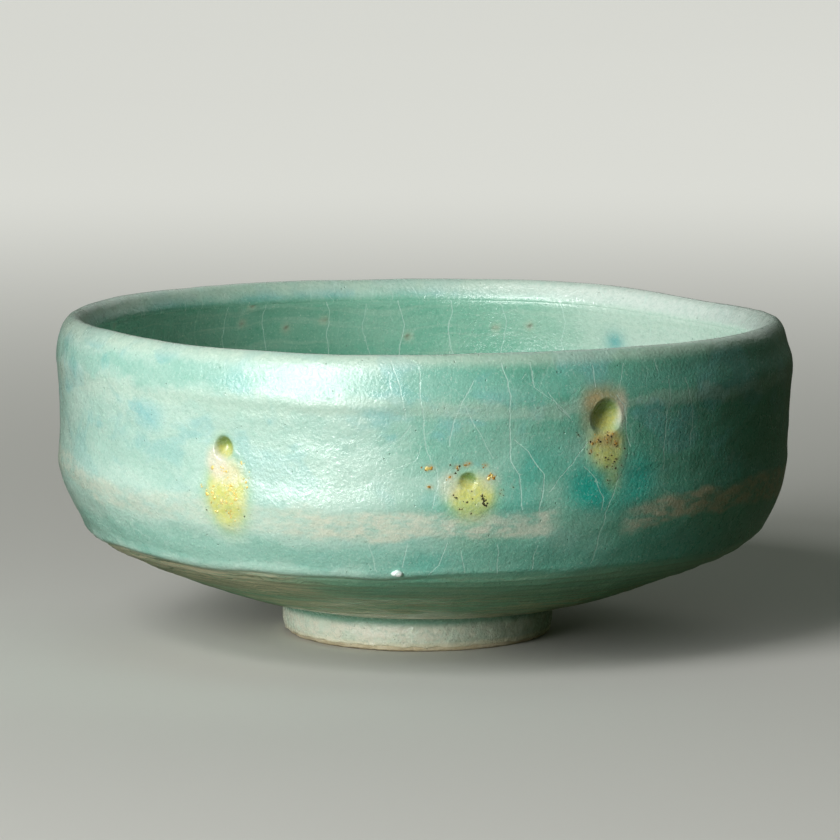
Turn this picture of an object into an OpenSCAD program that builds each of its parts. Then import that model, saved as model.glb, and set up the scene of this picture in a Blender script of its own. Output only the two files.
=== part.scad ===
// Matcha bowl (chawan): a wide, low, thrown bowl of pale clay on a small luted
// foot ring, under a thick pooled glaze. Three press marks on the front wall
// carry a dab of yellow glaze strewn with gold flecks.
//
// Frame: millimetres, +Z up. The resting face lies in z = 0, and the axis of
// the wall is the Z axis. The front of the bowl, with the press marks, faces -Y.
// Angles round the wall are measured from the front, positive towards +X.

/* [Bowl] */
// Widest outside diameter of the glazed wall
bowl_d = 139.8; // [132:0.2:154]
// Height of the top of the lip above the resting face
bowl_h = 60.9; // [58:0.1:70]
// Steps between neighbouring stations of the wall section
wall_steps = 3; // [1:1:4]

/* [Foot] */
// Outside diameter of the clay foot ring where it meets the table
foot_d = 50.6; // [46:0.2:54]
// Height of the glazed underside of the bowl above the table at the foot
foot_h = 6.4; // [5.6:0.1:7]
// Width of the flat resting face of the foot ring
foot_land = 2.6; // [1.6:0.1:3.4]
// Depth of the recess inside the foot ring
recess_depth = 5; // [4:0.1:5.4]
// Distance that the foot sits off the axis of the wall, towards -X
foot_shift = 1.2; // [0:0.1:2]
// Height of the small turned nipple in the middle of the recess
nipple_h = 0.9; // [0.3:0.1:1.5]

/* [Glaze] */
// Thickness of the thick glaze on the outside of the wall
glaze_wall = 0.9; // [0.6:0.05:1.2]
// Thickness of the thin glaze on the lip and on the underside
glaze_thin = 0.45; // [0.3:0.05:0.6]
// Thickness of the glaze inside the bowl
glaze_inside = 0.7; // [0.5:0.05:1]
// Thickness of the glaze on the outside of the foot ring
glaze_foot = 0.5; // [0.3:0.05:0.8]
// Height above the table at which the glaze on the foot ends
foot_glaze_edge = 1.3; // [0.8:0.1:2.5]

/* [Press marks] */
// Angle of the left press mark round the wall
left_angle = -31; // [-45:1:-20]
// Height of the left press mark
left_z = 43.4; // [38:0.1:47]
// Angle of the middle press mark round the wall
middle_angle = 6.4; // [-5:0.2:12]
// Height of the middle press mark
middle_z = 38.4; // [34:0.1:44]
// Angle of the right press mark round the wall
right_angle = 27.2; // [22:0.2:40]
// Height of the right press mark
right_z = 49.6; // [42:0.1:51]
// Mouth radius of the two small press marks
small_mark_r = 2.0; // [1.6:0.1:3]
// Mouth radius of the large press mark
large_mark_r = 3.4; // [3:0.1:5]
// Depth of the small press marks
small_mark_depth = 1.6; // [0.8:0.1:2]
// Depth of the large press mark
large_mark_depth = 2.2; // [1.2:0.1:2.6]

/* [Flecks and bead] */
// Number of gold flecks in each yellow spot
flecks_each = 12; // [4:1:18]
// Radius of the smallest fleck
fleck_r = 0.24; // [0.15:0.01:0.3]
// Length of the glaze bead that hangs from the glaze roll
bead_l = 2.1; // [1.6:0.1:3]
// Thickness of the glaze bead
bead_d = 1.2; // [0.8:0.1:1.6]

/* [Hidden] */

wr = bowl_d / 2;
h = bowl_h;
fr = foot_d / 2;              // clay radius of the foot at the table
seat_z = foot_h + glaze_thin; // flat clay seat that the foot ring is luted to
recess_z = recess_depth;      // ceiling of the recess
fine = 96;

// ---- Section of the finished, glazed bowl ---------------------------------
// Each station is [share of the half width, share of the height, glaze
// thickness]. The outside runs from the foot up to the ledge inside the lip.
outer_stations = [
    [0.300, foot_h / h, glaze_thin],
    [0.400, foot_h / h, glaze_thin],
    [0.472, 0.122, glaze_thin],     // shallow turned underside
    [0.579, 0.158, glaze_thin],
    [0.668, 0.197, glaze_thin],
    [0.781, 0.246, glaze_thin],
    [0.877, 0.296, glaze_thin],     // turn from the underside into the wall
    [0.917, 0.335, glaze_wall * 1.1],  // roll where the thick glaze ends
    [0.934, 0.370, glaze_wall * 1.1],
    [0.960, 0.427, glaze_wall],
    [0.983, 0.493, glaze_wall],
    [0.991, 0.558, glaze_wall],     // lower bulge
    [0.990, 0.657, glaze_wall],     // slight waist
    [0.994, 0.739, glaze_wall],
    [0.999, 0.821, glaze_wall],
    [1.000, 0.870, glaze_wall],     // shoulder, the widest place
    [0.989, 0.936, glaze_wall * 0.8],
    [0.976, 0.977, glaze_thin],
    [0.9585, 1.000, glaze_thin],    // crown of the lip
    [0.938, 0.984, glaze_thin],
    [0.920, 0.954, glaze_thin]
];
// The inside runs from the ledge down to the middle of the floor.
inner_stations = [
    [0.906, 0.931, glaze_thin],
    [0.914, 0.870, glaze_inside],
    [0.916, 0.780, glaze_inside],
    [0.911, 0.660, glaze_inside],
    [0.893, 0.530, glaze_inside],
    [0.855, 0.430, glaze_inside],
    [0.775, 0.345, glaze_inside],
    [0.645, 0.277, glaze_inside],
    [0.475, 0.220, glaze_inside],
    [0.300, 0.193, glaze_inside],
    [0.245, 0.188, glaze_inside],   // edge of the tea pool
    [0.210, 0.176, glaze_inside],
    [0.100, 0.171, glaze_inside],
    [0.000, 0.170, glaze_inside]
];
stations = concat(outer_stations, inner_stations);
ledge = len(outer_stations);      // index of the station at the ledge

// Catmull-Rom curve through the stations, with the glaze thickness carried along
function clamp_i(i) = max(0, min(len(stations) - 1, i));
function st(i) = let (s = stations[clamp_i(i)]) [s[0] * wr, s[1] * h, s[2]];
function cr(a, b, c, d, t) =
    0.5 * ((2 * b) + (c - a) * t + (2 * a - 5 * b + 4 * c - d) * t * t
           + (3 * b - a - 3 * c + d) * t * t * t);
function at_station(i, t) = cr(st(i - 1), st(i), st(i + 1), st(i + 2), t);
n_s = len(stations);
raw = [for (i = [0:n_s - 2]) for (k = [0:wall_steps - 1]) at_station(i, k / wall_steps)];
surface_pts = concat([for (p = raw) [max(0, p[0]), p[1], p[2]]], [st(n_s - 1)]);
ledge_k = ledge * wall_steps;     // index of the ledge in surface_pts
last_k = len(surface_pts) - 1;

// Clay line: every point moved into the wall by its glaze thickness
function unit(v) = v / max(1e-6, norm(v));
function xz(k) = let (p = surface_pts[max(0, min(last_k, k))]) [p[0], p[1]];
function into_wall(k) =
    let (d = unit(xz(k + 1) - xz(k - 1))) k == 0 ? [0, 1] : k == last_k ? [0, -1] : [-d[1], d[0]];
clay_pts = [for (k = [0:last_k])
    let (q = xz(k) + surface_pts[k][2] * into_wall(k)) [k == last_k ? 0 : max(0, q[0]), q[1]]];

function part_of(list, a, b) = [for (k = [a:b]) [list[k][0], list[k][1]]];
function backwards(list, a, b) = [for (k = [b:-1:a]) [list[k][0], list[k][1]]];

// Radius of the glazed outside at height z, on the wall above the turn
wall_lo = 8 * wall_steps;
wall_hi = 15 * wall_steps;
function wall_r(z) = lookup(z, [for (k = [wall_lo:wall_hi]) [surface_pts[k][1], surface_pts[k][0]]]);
// The same round the turn, lower down
function low_wall_r(z) = lookup(z, [for (k = [5 * wall_steps:wall_hi]) [surface_pts[k][1], surface_pts[k][0]]]);

// ---- Press marks and yellow spots ------------------------------------------
// [angle, height, mouth radius, depth]
marks = [
    [left_angle, left_z, small_mark_r, small_mark_depth],
    [middle_angle, middle_z, small_mark_r, small_mark_depth],
    [right_angle, right_z, large_mark_r, large_mark_depth]
];
mark_lining = 0.6;                // glaze left on the bottom of a mark
function ball_r(m) = (m[2] * m[2] + m[3] * m[3]) / (2 * m[3]);

// [drop of the spot's middle below its mark, half width, half height]
spots = [[7.4, 4.3, 8.9], [3.4, 5.4, 6.0], [5.6, 4.6, 10.4]];

// Moves a child drawn round the origin to height z on the front and turns it
module on_wall(angle, radius, z) {
    rotate([0, 0, angle]) translate([0, -radius, z]) children();
}

module mark_balls(grow) {
    for (m = marks)
        on_wall(m[0], wall_r(m[1]) + ball_r(m) - m[3], m[1])
            sphere(r = ball_r(m) + grow, $fn = fine);
}

// Outline of a spot: an oval that runs down into a soft point
function spot_outline(w, t) = [for (a = [0:10:350])
    let (s = sin(a)) [w * cos(a) * (1 - 0.22 * (s < 0 ? s * s : 0)), t * s]];

module spot_prism(i) {
    on_wall(marks[i][0], 0, marks[i][1] - spots[i][0])
        rotate([90, 0, 0])
            translate([0, 0, 60])
                linear_extrude(height = 14)
                    polygon(spot_outline(spots[i][1], spots[i][2]));
}

// Flecks are strewn on a sunflower spiral in each spot, wider near its middle
module fleck_pegs() {
    for (i = [0:2])
        for (j = [1:flecks_each])
            let (q = sqrt(j / (flecks_each + 1)), a = 137.5 * j + 40 * i,
                 dx = 0.86 * spots[i][1] * q * cos(a),
                 dz = 0.86 * spots[i][2] * q * sin(a),
                 z = marks[i][1] - spots[i][0] + dz,
                 far = norm([dx, z - marks[i][1]]) > marks[i][2] + 0.9,
                 r = fleck_r * (1 + 0.35 * (j % 3)))
                if (far)
                    on_wall(marks[i][0] + dx / wall_r(z) * 57.3, wall_r(z) - 0.3, z)
                        rotate([90, 0, 0]) cylinder(h = 0.36, r = r, $fn = 24);
}

// ---- Revolved shapes shared by the parts -----------------------------------
module revolve(points) {
    rotate_extrude($fn = fine) polygon(points);
}

// The whole glazed bowl without its foot, as one solid of revolution
module glazed_bowl_solid() {
    revolve(concat(part_of(surface_pts, 0, last_k), [[0, foot_h]]));
}

// Outside glaze before the spots and flecks are let into it
module outer_coat() {
    difference() {
        union() {
            revolve(concat(part_of(surface_pts, 0, ledge_k), backwards(clay_pts, 0, ledge_k)));
            intersection() {
                mark_balls(mark_lining);
                revolve(concat(part_of(surface_pts, wall_lo, wall_hi),
                    [[wr * 0.93, surface_pts[wall_hi][1]], [wr * 0.93, surface_pts[wall_lo][1]]]));
            }
        }
        mark_balls(0);
        translate([-foot_shift, 0, 0]) cylinder(h = seat_z + 1, r = fr, $fn = fine);
    }
}

// ---- Sub-parts --------------------------------------------------------------

// Thrown wall and floor, with the seat and recess ceiling for the foot
module clay_body() {
    color([0.86, 0.82, 0.71])
    difference() {
        union() {
            revolve(concat([[0, seat_z]], part_of(clay_pts, 0, last_k)));
            translate([-foot_shift, 0, recess_z])
                cylinder(h = seat_z - recess_z + 0.5, r = fr - foot_land - 2.2, $fn = fine);
            translate([-foot_shift, 0, recess_z - nipple_h])
                cylinder(h = nipple_h + 0.5, r1 = 0.8, r2 = 7, $fn = fine);
        }
        mark_balls(mark_lining);
    }
}

// Luted foot ring: slightly bulging outside, sloping inside, flat land below
module foot_ring() {
    in_r = fr - foot_land - 2.2;
    color([0.84, 0.80, 0.70])
    translate([-foot_shift, 0, 0])
        revolve([
            [fr - 0.7 - foot_land, 0], [fr - 0.7, 0],
            [fr - 0.25, 0.3], [fr, 0.9], [fr + 0.1, foot_glaze_edge],
            [fr + 0.05, foot_h * 0.55], [fr, foot_h], [fr, seat_z],
            [in_r, seat_z], [in_r, recess_z], [in_r + 0.7, recess_z * 0.45],
            [fr - foot_land - 1.1, 0.5]
        ]);
}

// Thick pooled glaze over the outside, the crown of the lip and its inner bevel
module outer_glaze() {
    color([0.55, 0.80, 0.73])
    difference() {
        outer_coat();
        for (i = [0:2]) spot_prism(i);
        fleck_pegs();
    }
}

// Glaze inside the bowl, from the ledge under the lip down over the floor
module inner_glaze() {
    color([0.45, 0.72, 0.63])
    revolve(concat(part_of(surface_pts, ledge_k, last_k), backwards(clay_pts, ledge_k, last_k)));
}

// Thinner, whiter glaze on the outside of the foot ring
module foot_glaze() {
    color([0.72, 0.84, 0.76])
    translate([-foot_shift, 0, 0])
        revolve([
            [fr + 0.1, foot_glaze_edge], [fr + 0.1 + glaze_foot * 0.8, foot_glaze_edge + 0.4],
            [fr + 0.05 + glaze_foot, foot_h * 0.55], [fr + glaze_foot * 0.7, foot_h - 0.5],
            [fr + glaze_foot * 0.5, foot_h], [fr, foot_h], [fr + 0.05, foot_h * 0.55]
        ]);
}

// One dab of yellow glaze, let into the outer glaze round its press mark
module yellow_spot(i) {
    color([0.86, 0.86, 0.50])
    difference() {
        intersection() {
            outer_coat();
            spot_prism(i);
        }
        fleck_pegs();
    }
}

module yellow_spot_left() { yellow_spot(0); }
module yellow_spot_middle() { yellow_spot(1); }
module yellow_spot_right() { yellow_spot(2); }

// Gold flecks, each bedded in the glaze and standing just proud of it
module gold_flecks() {
    color([0.83, 0.62, 0.20]) fleck_pegs();
}

// White drop of glaze that hangs from the glaze roll at the front: half a
// capsule, spun through a half turn, flat against the slope of the wall
module glaze_bead() {
    z = 0.352 * h;
    r = low_wall_r(z);
    lean = atan2(low_wall_r(z + 1) - low_wall_r(z - 1), 2);
    rb = bead_d / 2;
    mid = (bead_l - bead_d) / 2;
    color([0.93, 0.95, 0.92])
    on_wall(-4.3, r + 0.03, z) rotate([lean, 0, 0]) rotate([0, 90, 0])
        rotate([0, 0, 180])
            rotate_extrude(angle = 180, $fn = 48)
                polygon(concat([for (a = [-90:15:0]) [rb * cos(a), -mid + rb * sin(a)]],
                               [for (a = [0:15:90]) [rb * cos(a), mid + rb * sin(a)]]));
}

clay_body();
foot_ring();
outer_glaze();
inner_glaze();
foot_glaze();
yellow_spot_left();
yellow_spot_middle();
yellow_spot_right();
gold_flecks();
glaze_bead();
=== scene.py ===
"""Matcha bowl: a thrown, glazed tea bowl on a luted foot ring."""

import math

import bmesh
import bpy
import numpy as np
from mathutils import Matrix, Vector


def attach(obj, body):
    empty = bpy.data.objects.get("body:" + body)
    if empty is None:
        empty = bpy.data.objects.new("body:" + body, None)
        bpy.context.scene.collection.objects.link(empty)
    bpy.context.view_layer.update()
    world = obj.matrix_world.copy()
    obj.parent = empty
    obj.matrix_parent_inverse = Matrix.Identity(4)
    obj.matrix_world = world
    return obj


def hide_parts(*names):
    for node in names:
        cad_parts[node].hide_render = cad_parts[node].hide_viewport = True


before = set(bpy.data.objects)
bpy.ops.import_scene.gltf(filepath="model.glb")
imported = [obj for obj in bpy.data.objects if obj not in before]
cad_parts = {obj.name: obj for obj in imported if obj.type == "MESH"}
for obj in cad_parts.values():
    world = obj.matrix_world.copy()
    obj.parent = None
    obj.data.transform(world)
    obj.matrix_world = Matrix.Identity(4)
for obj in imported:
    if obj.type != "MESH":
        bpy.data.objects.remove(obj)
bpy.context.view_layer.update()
MM = 0.001
rng = np.random.default_rng(7)

# --------------------------------------------------------------------------
# Camera: a long lens, a little above the lip, straight at the front
# --------------------------------------------------------------------------
cam_data = bpy.data.cameras.new("camera")
cam_data.lens = 204.04
cam_data.sensor_width = 36.0
cam_data.dof.use_dof = False
cam_data.clip_start = 0.05
cam_data.clip_end = 60.0
cam = bpy.data.objects.new("camera", cam_data)
bpy.context.scene.collection.objects.link(cam)
cam.location = (-0.00078, -0.900, 0.1558)
cam.rotation_euler = (math.radians(90 - 7.31), 0.0, 0.0)
bpy.context.scene.camera = cam


# --------------------------------------------------------------------------
# The shape of the glazed surface, in millimetres
# --------------------------------------------------------------------------
# Section stations from the foot up the outside, over the lip and down to the
# middle of the floor: radius, height, glaze thickness
OUTER = np.array([
    [20.0, 6.45, .4], [26.5, 6.45, .4], [29.5, 6.65, .4], [33.2, 7.45, .4], [36.8, 8.35, .4],
    [40.6, 9.6, .45], [46.7, 12.0, .45], [54.4, 15.0, .45], [61.0, 18.0, .5], [64.0, 20.4, .8],
    [65.3, 22.5, .9], [67.0, 26.0, .9], [68.5, 30.0, .9], [69.25, 34.0, .9], [69.2, 38.0, .9],
    [69.3, 42.0, .9], [69.5, 46.0, .9], [69.8, 50.0, .9], [69.85, 53.5, .85], [69.25, 57.0, .7],
    [68.5, 59.2, .6], [67.4, 60.6, .5], [66.4, 60.9, .45], [65.3, 60.3, .45], [64.4, 58.9, .45],
    [63.75, 57.6, .45]])
INNER = np.array([
    [63.55, 56.6, .5], [63.75, 54.6, .6], [64.0, 51.0, .7], [64.0, 47.0, .7], [63.7, 40.2, .7],
    [62.4, 32.3, .7], [59.8, 26.2, .7], [54.2, 21.0, .7], [45.1, 16.9, .7], [33.2, 13.4, .7],
    [21.0, 11.75, .7], [17.1, 11.45, .7], [14.7, 10.7, .7], [7.0, 10.4, .7], [0.0, 10.35, .7]])
STN = np.vstack([OUTER, INNER])
LEDGE = len(OUTER)


def catmull(pts, t):
    """Points on the Catmull-Rom curve through pts at station numbers t."""
    t = np.clip(t, 0, len(pts) - 1)
    i = np.minimum(t.astype(int), len(pts) - 2)
    f = (t - i)[:, None]
    pad = np.vstack([pts[:1], pts, pts[-1:]])
    a, b, c, d = pad[i], pad[i + 1], pad[i + 2], pad[i + 3]
    return 0.5 * (2 * b + (c - a) * f + (2 * a - 5 * b + 4 * c - d) * f ** 2
                  + (3 * b - a - 3 * c + d) * f ** 3)


def smooth(a, b, x):
    t = np.clip((x - a) / (b - a), 0, 1)
    return t * t * (3 - 2 * t)


def bump_noise(x, y, z, scale, seed, octaves=3):
    """Smooth seeded value noise in -1..1 on arrays of points."""
    out = np.zeros_like(x)
    amp, tot = 1.0, 0.0
    for o in range(octaves):
        s = 2 ** o / scale
        X, Y, Z = x * s + 13.1 * seed, y * s + 7.7 * seed, z * s + 3.3 * seed
        xi, yi, zi = np.floor(X).astype(np.int64), np.floor(Y).astype(np.int64), np.floor(Z).astype(np.int64)
        fx, fy, fz = X - xi, Y - yi, Z - zi
        fx, fy, fz = [f * f * f * (f * (f * 6 - 15) + 10) for f in (fx, fy, fz)]

        def h(a, b, c):
            n = (a * 374761393 + b * 668265263 + c * 2147483647 + (seed + o) * 144665) & 0xFFFFFFFF
            n = ((n ^ (n >> 13)) * 1274126177) & 0xFFFFFFFF
            n = n ^ (n >> 16)
            return (n & 0xFFFF) / 32767.5 - 1.0
        v = 0
        for da in (0, 1):
            for db in (0, 1):
                for dc in (0, 1):
                    w = (fx if da else 1 - fx) * (fy if db else 1 - fy) * (fz if dc else 1 - fz)
                    v = v + w * h(xi + da, yi + db, zi + dc)
        out += amp * v
        tot += amp
        amp *= 0.5
    return out / tot


def periodic(theta, knots):
    """A smooth closed curve through knots of (degrees, value)."""
    k = np.array(sorted(knots), float)
    ang = np.radians(np.concatenate([k[-3:, 0] - 360, k[:, 0], k[:3, 0] + 360]))
    val = np.concatenate([k[-3:, 1], k[:, 1], k[:3, 1]])
    t = (theta + np.pi) % (2 * np.pi) - np.pi
    i = np.clip(np.searchsorted(ang, t) - 1, 1, len(ang) - 3)
    f = (t - ang[i]) / (ang[i + 1] - ang[i])
    m0 = (val[i + 1] - val[i - 1]) / (ang[i + 1] - ang[i - 1]) * (ang[i + 1] - ang[i])
    m1 = (val[i + 2] - val[i]) / (ang[i + 2] - ang[i]) * (ang[i + 1] - ang[i])
    return ((2 * f ** 3 - 3 * f ** 2 + 1) * val[i] + (f ** 3 - 2 * f ** 2 + f) * m0
            + (-2 * f ** 3 + 3 * f ** 2) * val[i + 1] + (f ** 3 - f ** 2) * m1)


# Height of the lip above or below its mean, round the bowl (0 = front, 90 = right)
LIP_DZ = [(-165, 0.0), (-150, 0.0), (-125, 0.1), (-108, 0.0), (-95, -0.1), (-82, 0.1), (-69, 0.3), (-59, 0.25),
          (-50, -0.05), (-42, -0.25), (-33, -0.33), (-25, -0.42), (-16, -0.58), (-8, -0.5), (0, -0.35), (9, -0.17),
          (20, -0.2), (32, -0.25), (44, -0.45), (58, -0.45), (68, -0.42), (78, -0.5), (90, -0.85), (103, -1.25),
          (112, -1.45), (121, -1.5), (130, -1.25), (137, -0.85), (145, -0.3), (153, 0.0), (165, 0.12), (177, 0.0)]
RU = 68.0   # radius that turns an angle into millimetres along the wall

# Press marks: along the wall, height, half width, half height, depth
MARKS = [(-37.0, 43.2, 1.65, 1.95, 1.6), (7.6, 38.4, 1.45, 1.45, 0.34), (32.7, 49.3, 2.55, 2.9, 1.5)]


def mark_rho(m, u, z, grow=0.0):
    return np.sqrt(((u - m[0]) / (m[2] + grow)) ** 2 + ((z - m[1]) / (m[3] + grow)) ** 2)


def marks_depth(u, z, grow=0.0):
    d = np.zeros_like(u)
    for m in MARKS:
        rho = mark_rho(m, u, z, grow)
        # steep above, running out softly below
        soft = 1.22 - 0.13 * np.tanh((z - m[1]) / (0.5 * m[3]))
        c = np.clip(rho / soft, 0, 1)
        d = np.maximum(d, (m[4] + grow * 0.6) * (1 - c * c) ** 1.3)
    for m in MARKS:
        d = d + 0.24 * np.exp(-(mark_rho(m, u, z, grow) / 2.0) ** 2)
    return d


def roll_edge(u):
    """Height of the lower edge of the thick glaze."""
    t = u / RU
    return 20.2 + 0.35 * np.sin(4 * t + 0.4) + 0.22 * np.sin(11 * t) + 0.12 * np.sin(23 * t + 1.0)


def surface(theta, s, fine=True, grow=0.0, sink=None, lift=None):
    """Points of the finished surface, in mm. theta and s are arrays of one shape."""
    shape = theta.shape
    th, t = theta.ravel(), s.ravel()
    base = catmull(STN, t)
    d = catmull(STN, t + 0.01) - catmull(STN, t - 0.01)
    ln = np.maximum(1e-9, np.hypot(d[:, 0], d[:, 1]))
    nr, nz = d[:, 1] / ln, -d[:, 0] / ln
    r, z, thick = base[:, 0], base[:, 1], base[:, 2]
    outside = smooth(LEDGE + 1.0, LEDGE - 3.0, t)
    u = th * RU
    up = smooth(14, 60, z)
    # the wall is a little out of round, and the lip waves
    left = np.clip(-np.sin(th), 0, 1) ** 2
    right = np.clip(np.sin(th), 0, 1) ** 2
    r = r + outside * (left * (0.30 * np.exp(-((z - 33) / 5.0) ** 2) + 0.30 * np.exp(-((z - 57) / 3.0) ** 2))
                       - right * (0.35 * np.exp(-((z - 34) / 5.0) ** 2) + 0.45 * np.exp(-((z - 57) / 3.0) ** 2)))
    r = r * (1 + up * (0.0022 * np.sin(2 * th + 0.7) + 0.0016 * np.sin(3 * th + 2.1)))
    z = z + periodic(th, LIP_DZ) * smooth(30, 60, base[:, 1])
    x0, y0 = np.sin(th) * r, -np.cos(th) * r
    disp = np.zeros_like(r)
    if fine:
        # hand-thrown unevenness: broad, stretched along the turning
        disp += 0.28 * bump_noise(x0 / 2.6, y0 / 2.6, base[:, 1] * 1.0, 9.0, 3, 2) * smooth(7, 16, base[:, 1])
        disp += 0.10 * bump_noise(x0 / 1.6, y0 / 1.6, base[:, 1] * 1.3, 3.6, 5, 2) * outside
        wall = outside * smooth(19, 23, base[:, 1]) * smooth(61.5, 59.0, base[:, 1])
        zr = 52.1 - 1.2 * np.sin(th) + 0.3 * np.sin(6 * th)
        ridge = 0.13 + 0.17 * np.exp(-((u + 20) / 26.0) ** 2)
        dz_ = base[:, 1] - zr
        disp += outside * ridge * np.where(dz_ > 0, np.exp(-(dz_ / 3.0) ** 2), np.exp(-(dz_ / 1.3) ** 2))
        # a second, fainter one over the cream band
        zr2 = 33.4 + 0.4 * np.sin(5 * th + 1.0)
        disp += outside * 0.10 * np.exp(-((base[:, 1] - zr2) / 1.5) ** 2)
        # thick glaze ends in a roll above the turn
        edge = roll_edge(u)
        # crisp at the left of the front, and melting into the underside at the right
        melt = smooth(-18, 34, u) * smooth(208, 120, u)
        wide = 0.42 + 0.9 * melt
        below = smooth(edge + wide, edge - wide - 0.1, base[:, 1]) * outside
        disp -= (0.40 - 0.16 * melt) * below
        disp += (0.15 - 0.10 * melt) * np.exp(-((base[:, 1] - edge - 0.9) / 0.9) ** 2) * outside
        # turned grooves on the underside
        low = below * smooth(LEDGE, LEDGE - 10, t)
        q = base[:, 0]
        wob = 0.7 * bump_noise(x0, y0, base[:, 1], 14.0, 8, 2)
        disp += low * (0.09 * np.sin((q + wob) * 2.6) + 0.06 * np.sin((q + wob) * 4.7 + 1.3)
                       + 0.10 * bump_noise(x0 / 3.0, y0 / 3.0, q * 2.4, 2.4, 11, 3))
        disp -= wall * marks_depth(u, base[:, 1], grow)
    if sink is not None:
        disp -= sink * thick
    if lift is not None:
        disp += lift.ravel()
    r = r + nr * disp
    z = z + nz * disp
    r = np.maximum(r, 0.0)
    P = np.stack([np.sin(th) * r, -np.cos(th) * r, z], -1)
    return P.reshape(shape + (3,))


# Station number on the outside wall for a height
_t = np.linspace(6, LEDGE - 4, 3000)
_zt = catmull(STN, _t)[:, 1]


def s_of_z(z):
    return np.interp(z, _zt, _t)


def rows_between(s0, s1, spacing):
    """Station numbers from s0 to s1 whose steps follow spacing(r, z) in mm."""
    t = np.linspace(s0, s1, 6000)
    p = catmull(STN, t)[:, :2]
    seg = np.hypot(*np.diff(p, axis=0).T)
    dens = seg / spacing((p[1:, 0] + p[:-1, 0]) / 2, (p[1:, 1] + p[:-1, 1]) / 2)
    cum = np.concatenate([[0], np.cumsum(dens)])
    n = int(np.ceil(cum[-1]))
    return np.interp(np.linspace(0, cum[-1], n + 1), cum, t)


def angles(spacing):
    """Angles once round the bowl whose steps follow spacing(u) in mm."""
    t = np.linspace(-np.pi, np.pi, 20001)
    mid = (t[1:] + t[:-1]) / 2
    dens = np.diff(t) * RU / spacing(mid * RU)
    cum = np.concatenate([[0], np.cumsum(dens)])
    n = int(np.ceil(cum[-1]))
    return np.interp(np.linspace(0, cum[-1], n + 1), cum, t)[:-1]


# --------------------------------------------------------------------------
# Mesh helpers
# --------------------------------------------------------------------------
def make_mesh(name, verts, faces, smooth_shade=True):
    me = bpy.data.meshes.new(name)
    verts = np.asarray(verts, float) * MM
    faces = np.asarray(faces, dtype=object) if not isinstance(faces, np.ndarray) else faces
    if isinstance(faces, np.ndarray) and faces.dtype != object:
        n, k = faces.shape
        me.vertices.add(len(verts))
        me.vertices.foreach_set("co", verts.astype(np.float32).ravel())
        me.loops.add(n * k)
        me.loops.foreach_set("vertex_index", faces.astype(np.int32).ravel())
        me.polygons.add(n)
        me.polygons.foreach_set("loop_start", np.arange(0, n * k, k, dtype=np.int32))
        me.polygons.foreach_set("loop_total", np.full(n, k, dtype=np.int32))
        me.update(calc_edges=True)
    else:
        me.from_pydata([tuple(v) for v in verts], [], [tuple(int(i) for i in f) for f in faces])
    me.validate()
    if smooth_shade:
        me.polygons.foreach_set("use_smooth", np.ones(len(me.polygons), dtype=bool))
    me.update()
    ob = bpy.data.objects.new(name, me)
    bpy.context.scene.collection.objects.link(ob)
    return ob


def tube_faces(rows, cols, closed_rows):
    """Quads of a grid of rows by cols that closes round the columns."""
    n = rows if closed_rows else rows - 1
    i = np.arange(n)[:, None]
    j = np.arange(cols)[None, :]
    a = i * cols + j
    b = i * cols + (j + 1) % cols
    c = ((i + 1) % rows) * cols + (j + 1) % cols
    d = ((i + 1) % rows) * cols + j
    return np.stack([a, b, c, d], -1).reshape(-1, 4)


def lathe(rings, start_pole=None, end_pole=None):
    """Vertices and faces of a strip of rings, closed by a fan at either pole."""
    n, m = rings.shape[:2]
    verts = [rings.reshape(-1, 3)]
    quads = tube_faces(n, m, False)
    tris = []
    j = np.arange(m)
    if start_pole is not None:
        verts.append(np.array([start_pole]))
        tris.append(np.stack([np.full(m, n * m), (j + 1) % m, j], -1))
    if end_pole is not None:
        k = n * m + (1 if start_pole is not None else 0)
        verts.append(np.array([end_pole]))
        tris.append(np.stack([np.full(m, k), (n - 1) * m + j, (n - 1) * m + (j + 1) % m], -1))
    return np.vstack(verts), [quads] + tris


def make_mixed(name, verts, parts):
    """A mesh from groups of faces, each group with one number of corners."""
    me = bpy.data.meshes.new(name)
    me.vertices.add(len(verts))
    me.vertices.foreach_set("co", (np.asarray(verts, float) * MM).astype(np.float32).ravel())
    loops = np.concatenate([p.ravel() for p in parts]).astype(np.int32)
    totals = np.concatenate([np.full(len(p), p.shape[1]) for p in parts]).astype(np.int32)
    starts = np.concatenate([[0], np.cumsum(totals)[:-1]]).astype(np.int32)
    me.loops.add(len(loops))
    me.loops.foreach_set("vertex_index", loops)
    me.polygons.add(len(totals))
    me.polygons.foreach_set("loop_start", starts)
    me.polygons.foreach_set("loop_total", totals)
    me.update(calc_edges=True)
    me.validate()
    bm = bmesh.new()
    bm.from_mesh(me)
    bmesh.ops.recalc_face_normals(bm, faces=bm.faces)
    bm.to_mesh(me)
    bm.free()
    me.polygons.foreach_set("use_smooth", np.ones(len(me.polygons), dtype=bool))
    me.update()
    ob = bpy.data.objects.new(name, me)
    bpy.context.scene.collection.objects.link(ob)
    return ob


def attribute(ob, name, values):
    at = ob.data.attributes.new(name, "FLOAT", "POINT")
    at.data.foreach_set("value", np.asarray(values, np.float32).ravel())


def finish_piece(ob, mat, nodes):
    ob.data.materials.append(mat)
    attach(ob, "root")
    if nodes:
        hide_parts(*nodes)


# --------------------------------------------------------------------------
# Colour masks on the wall: u along it from the front, z up, in mm
# --------------------------------------------------------------------------
def oval(u, z, cu, cz, a, b, soft=0.35):
    q = np.sqrt(((u - cu) / a) ** 2 + ((z - cz) / b) ** 2)
    return smooth(1 + soft, 1 - soft, q)


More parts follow.
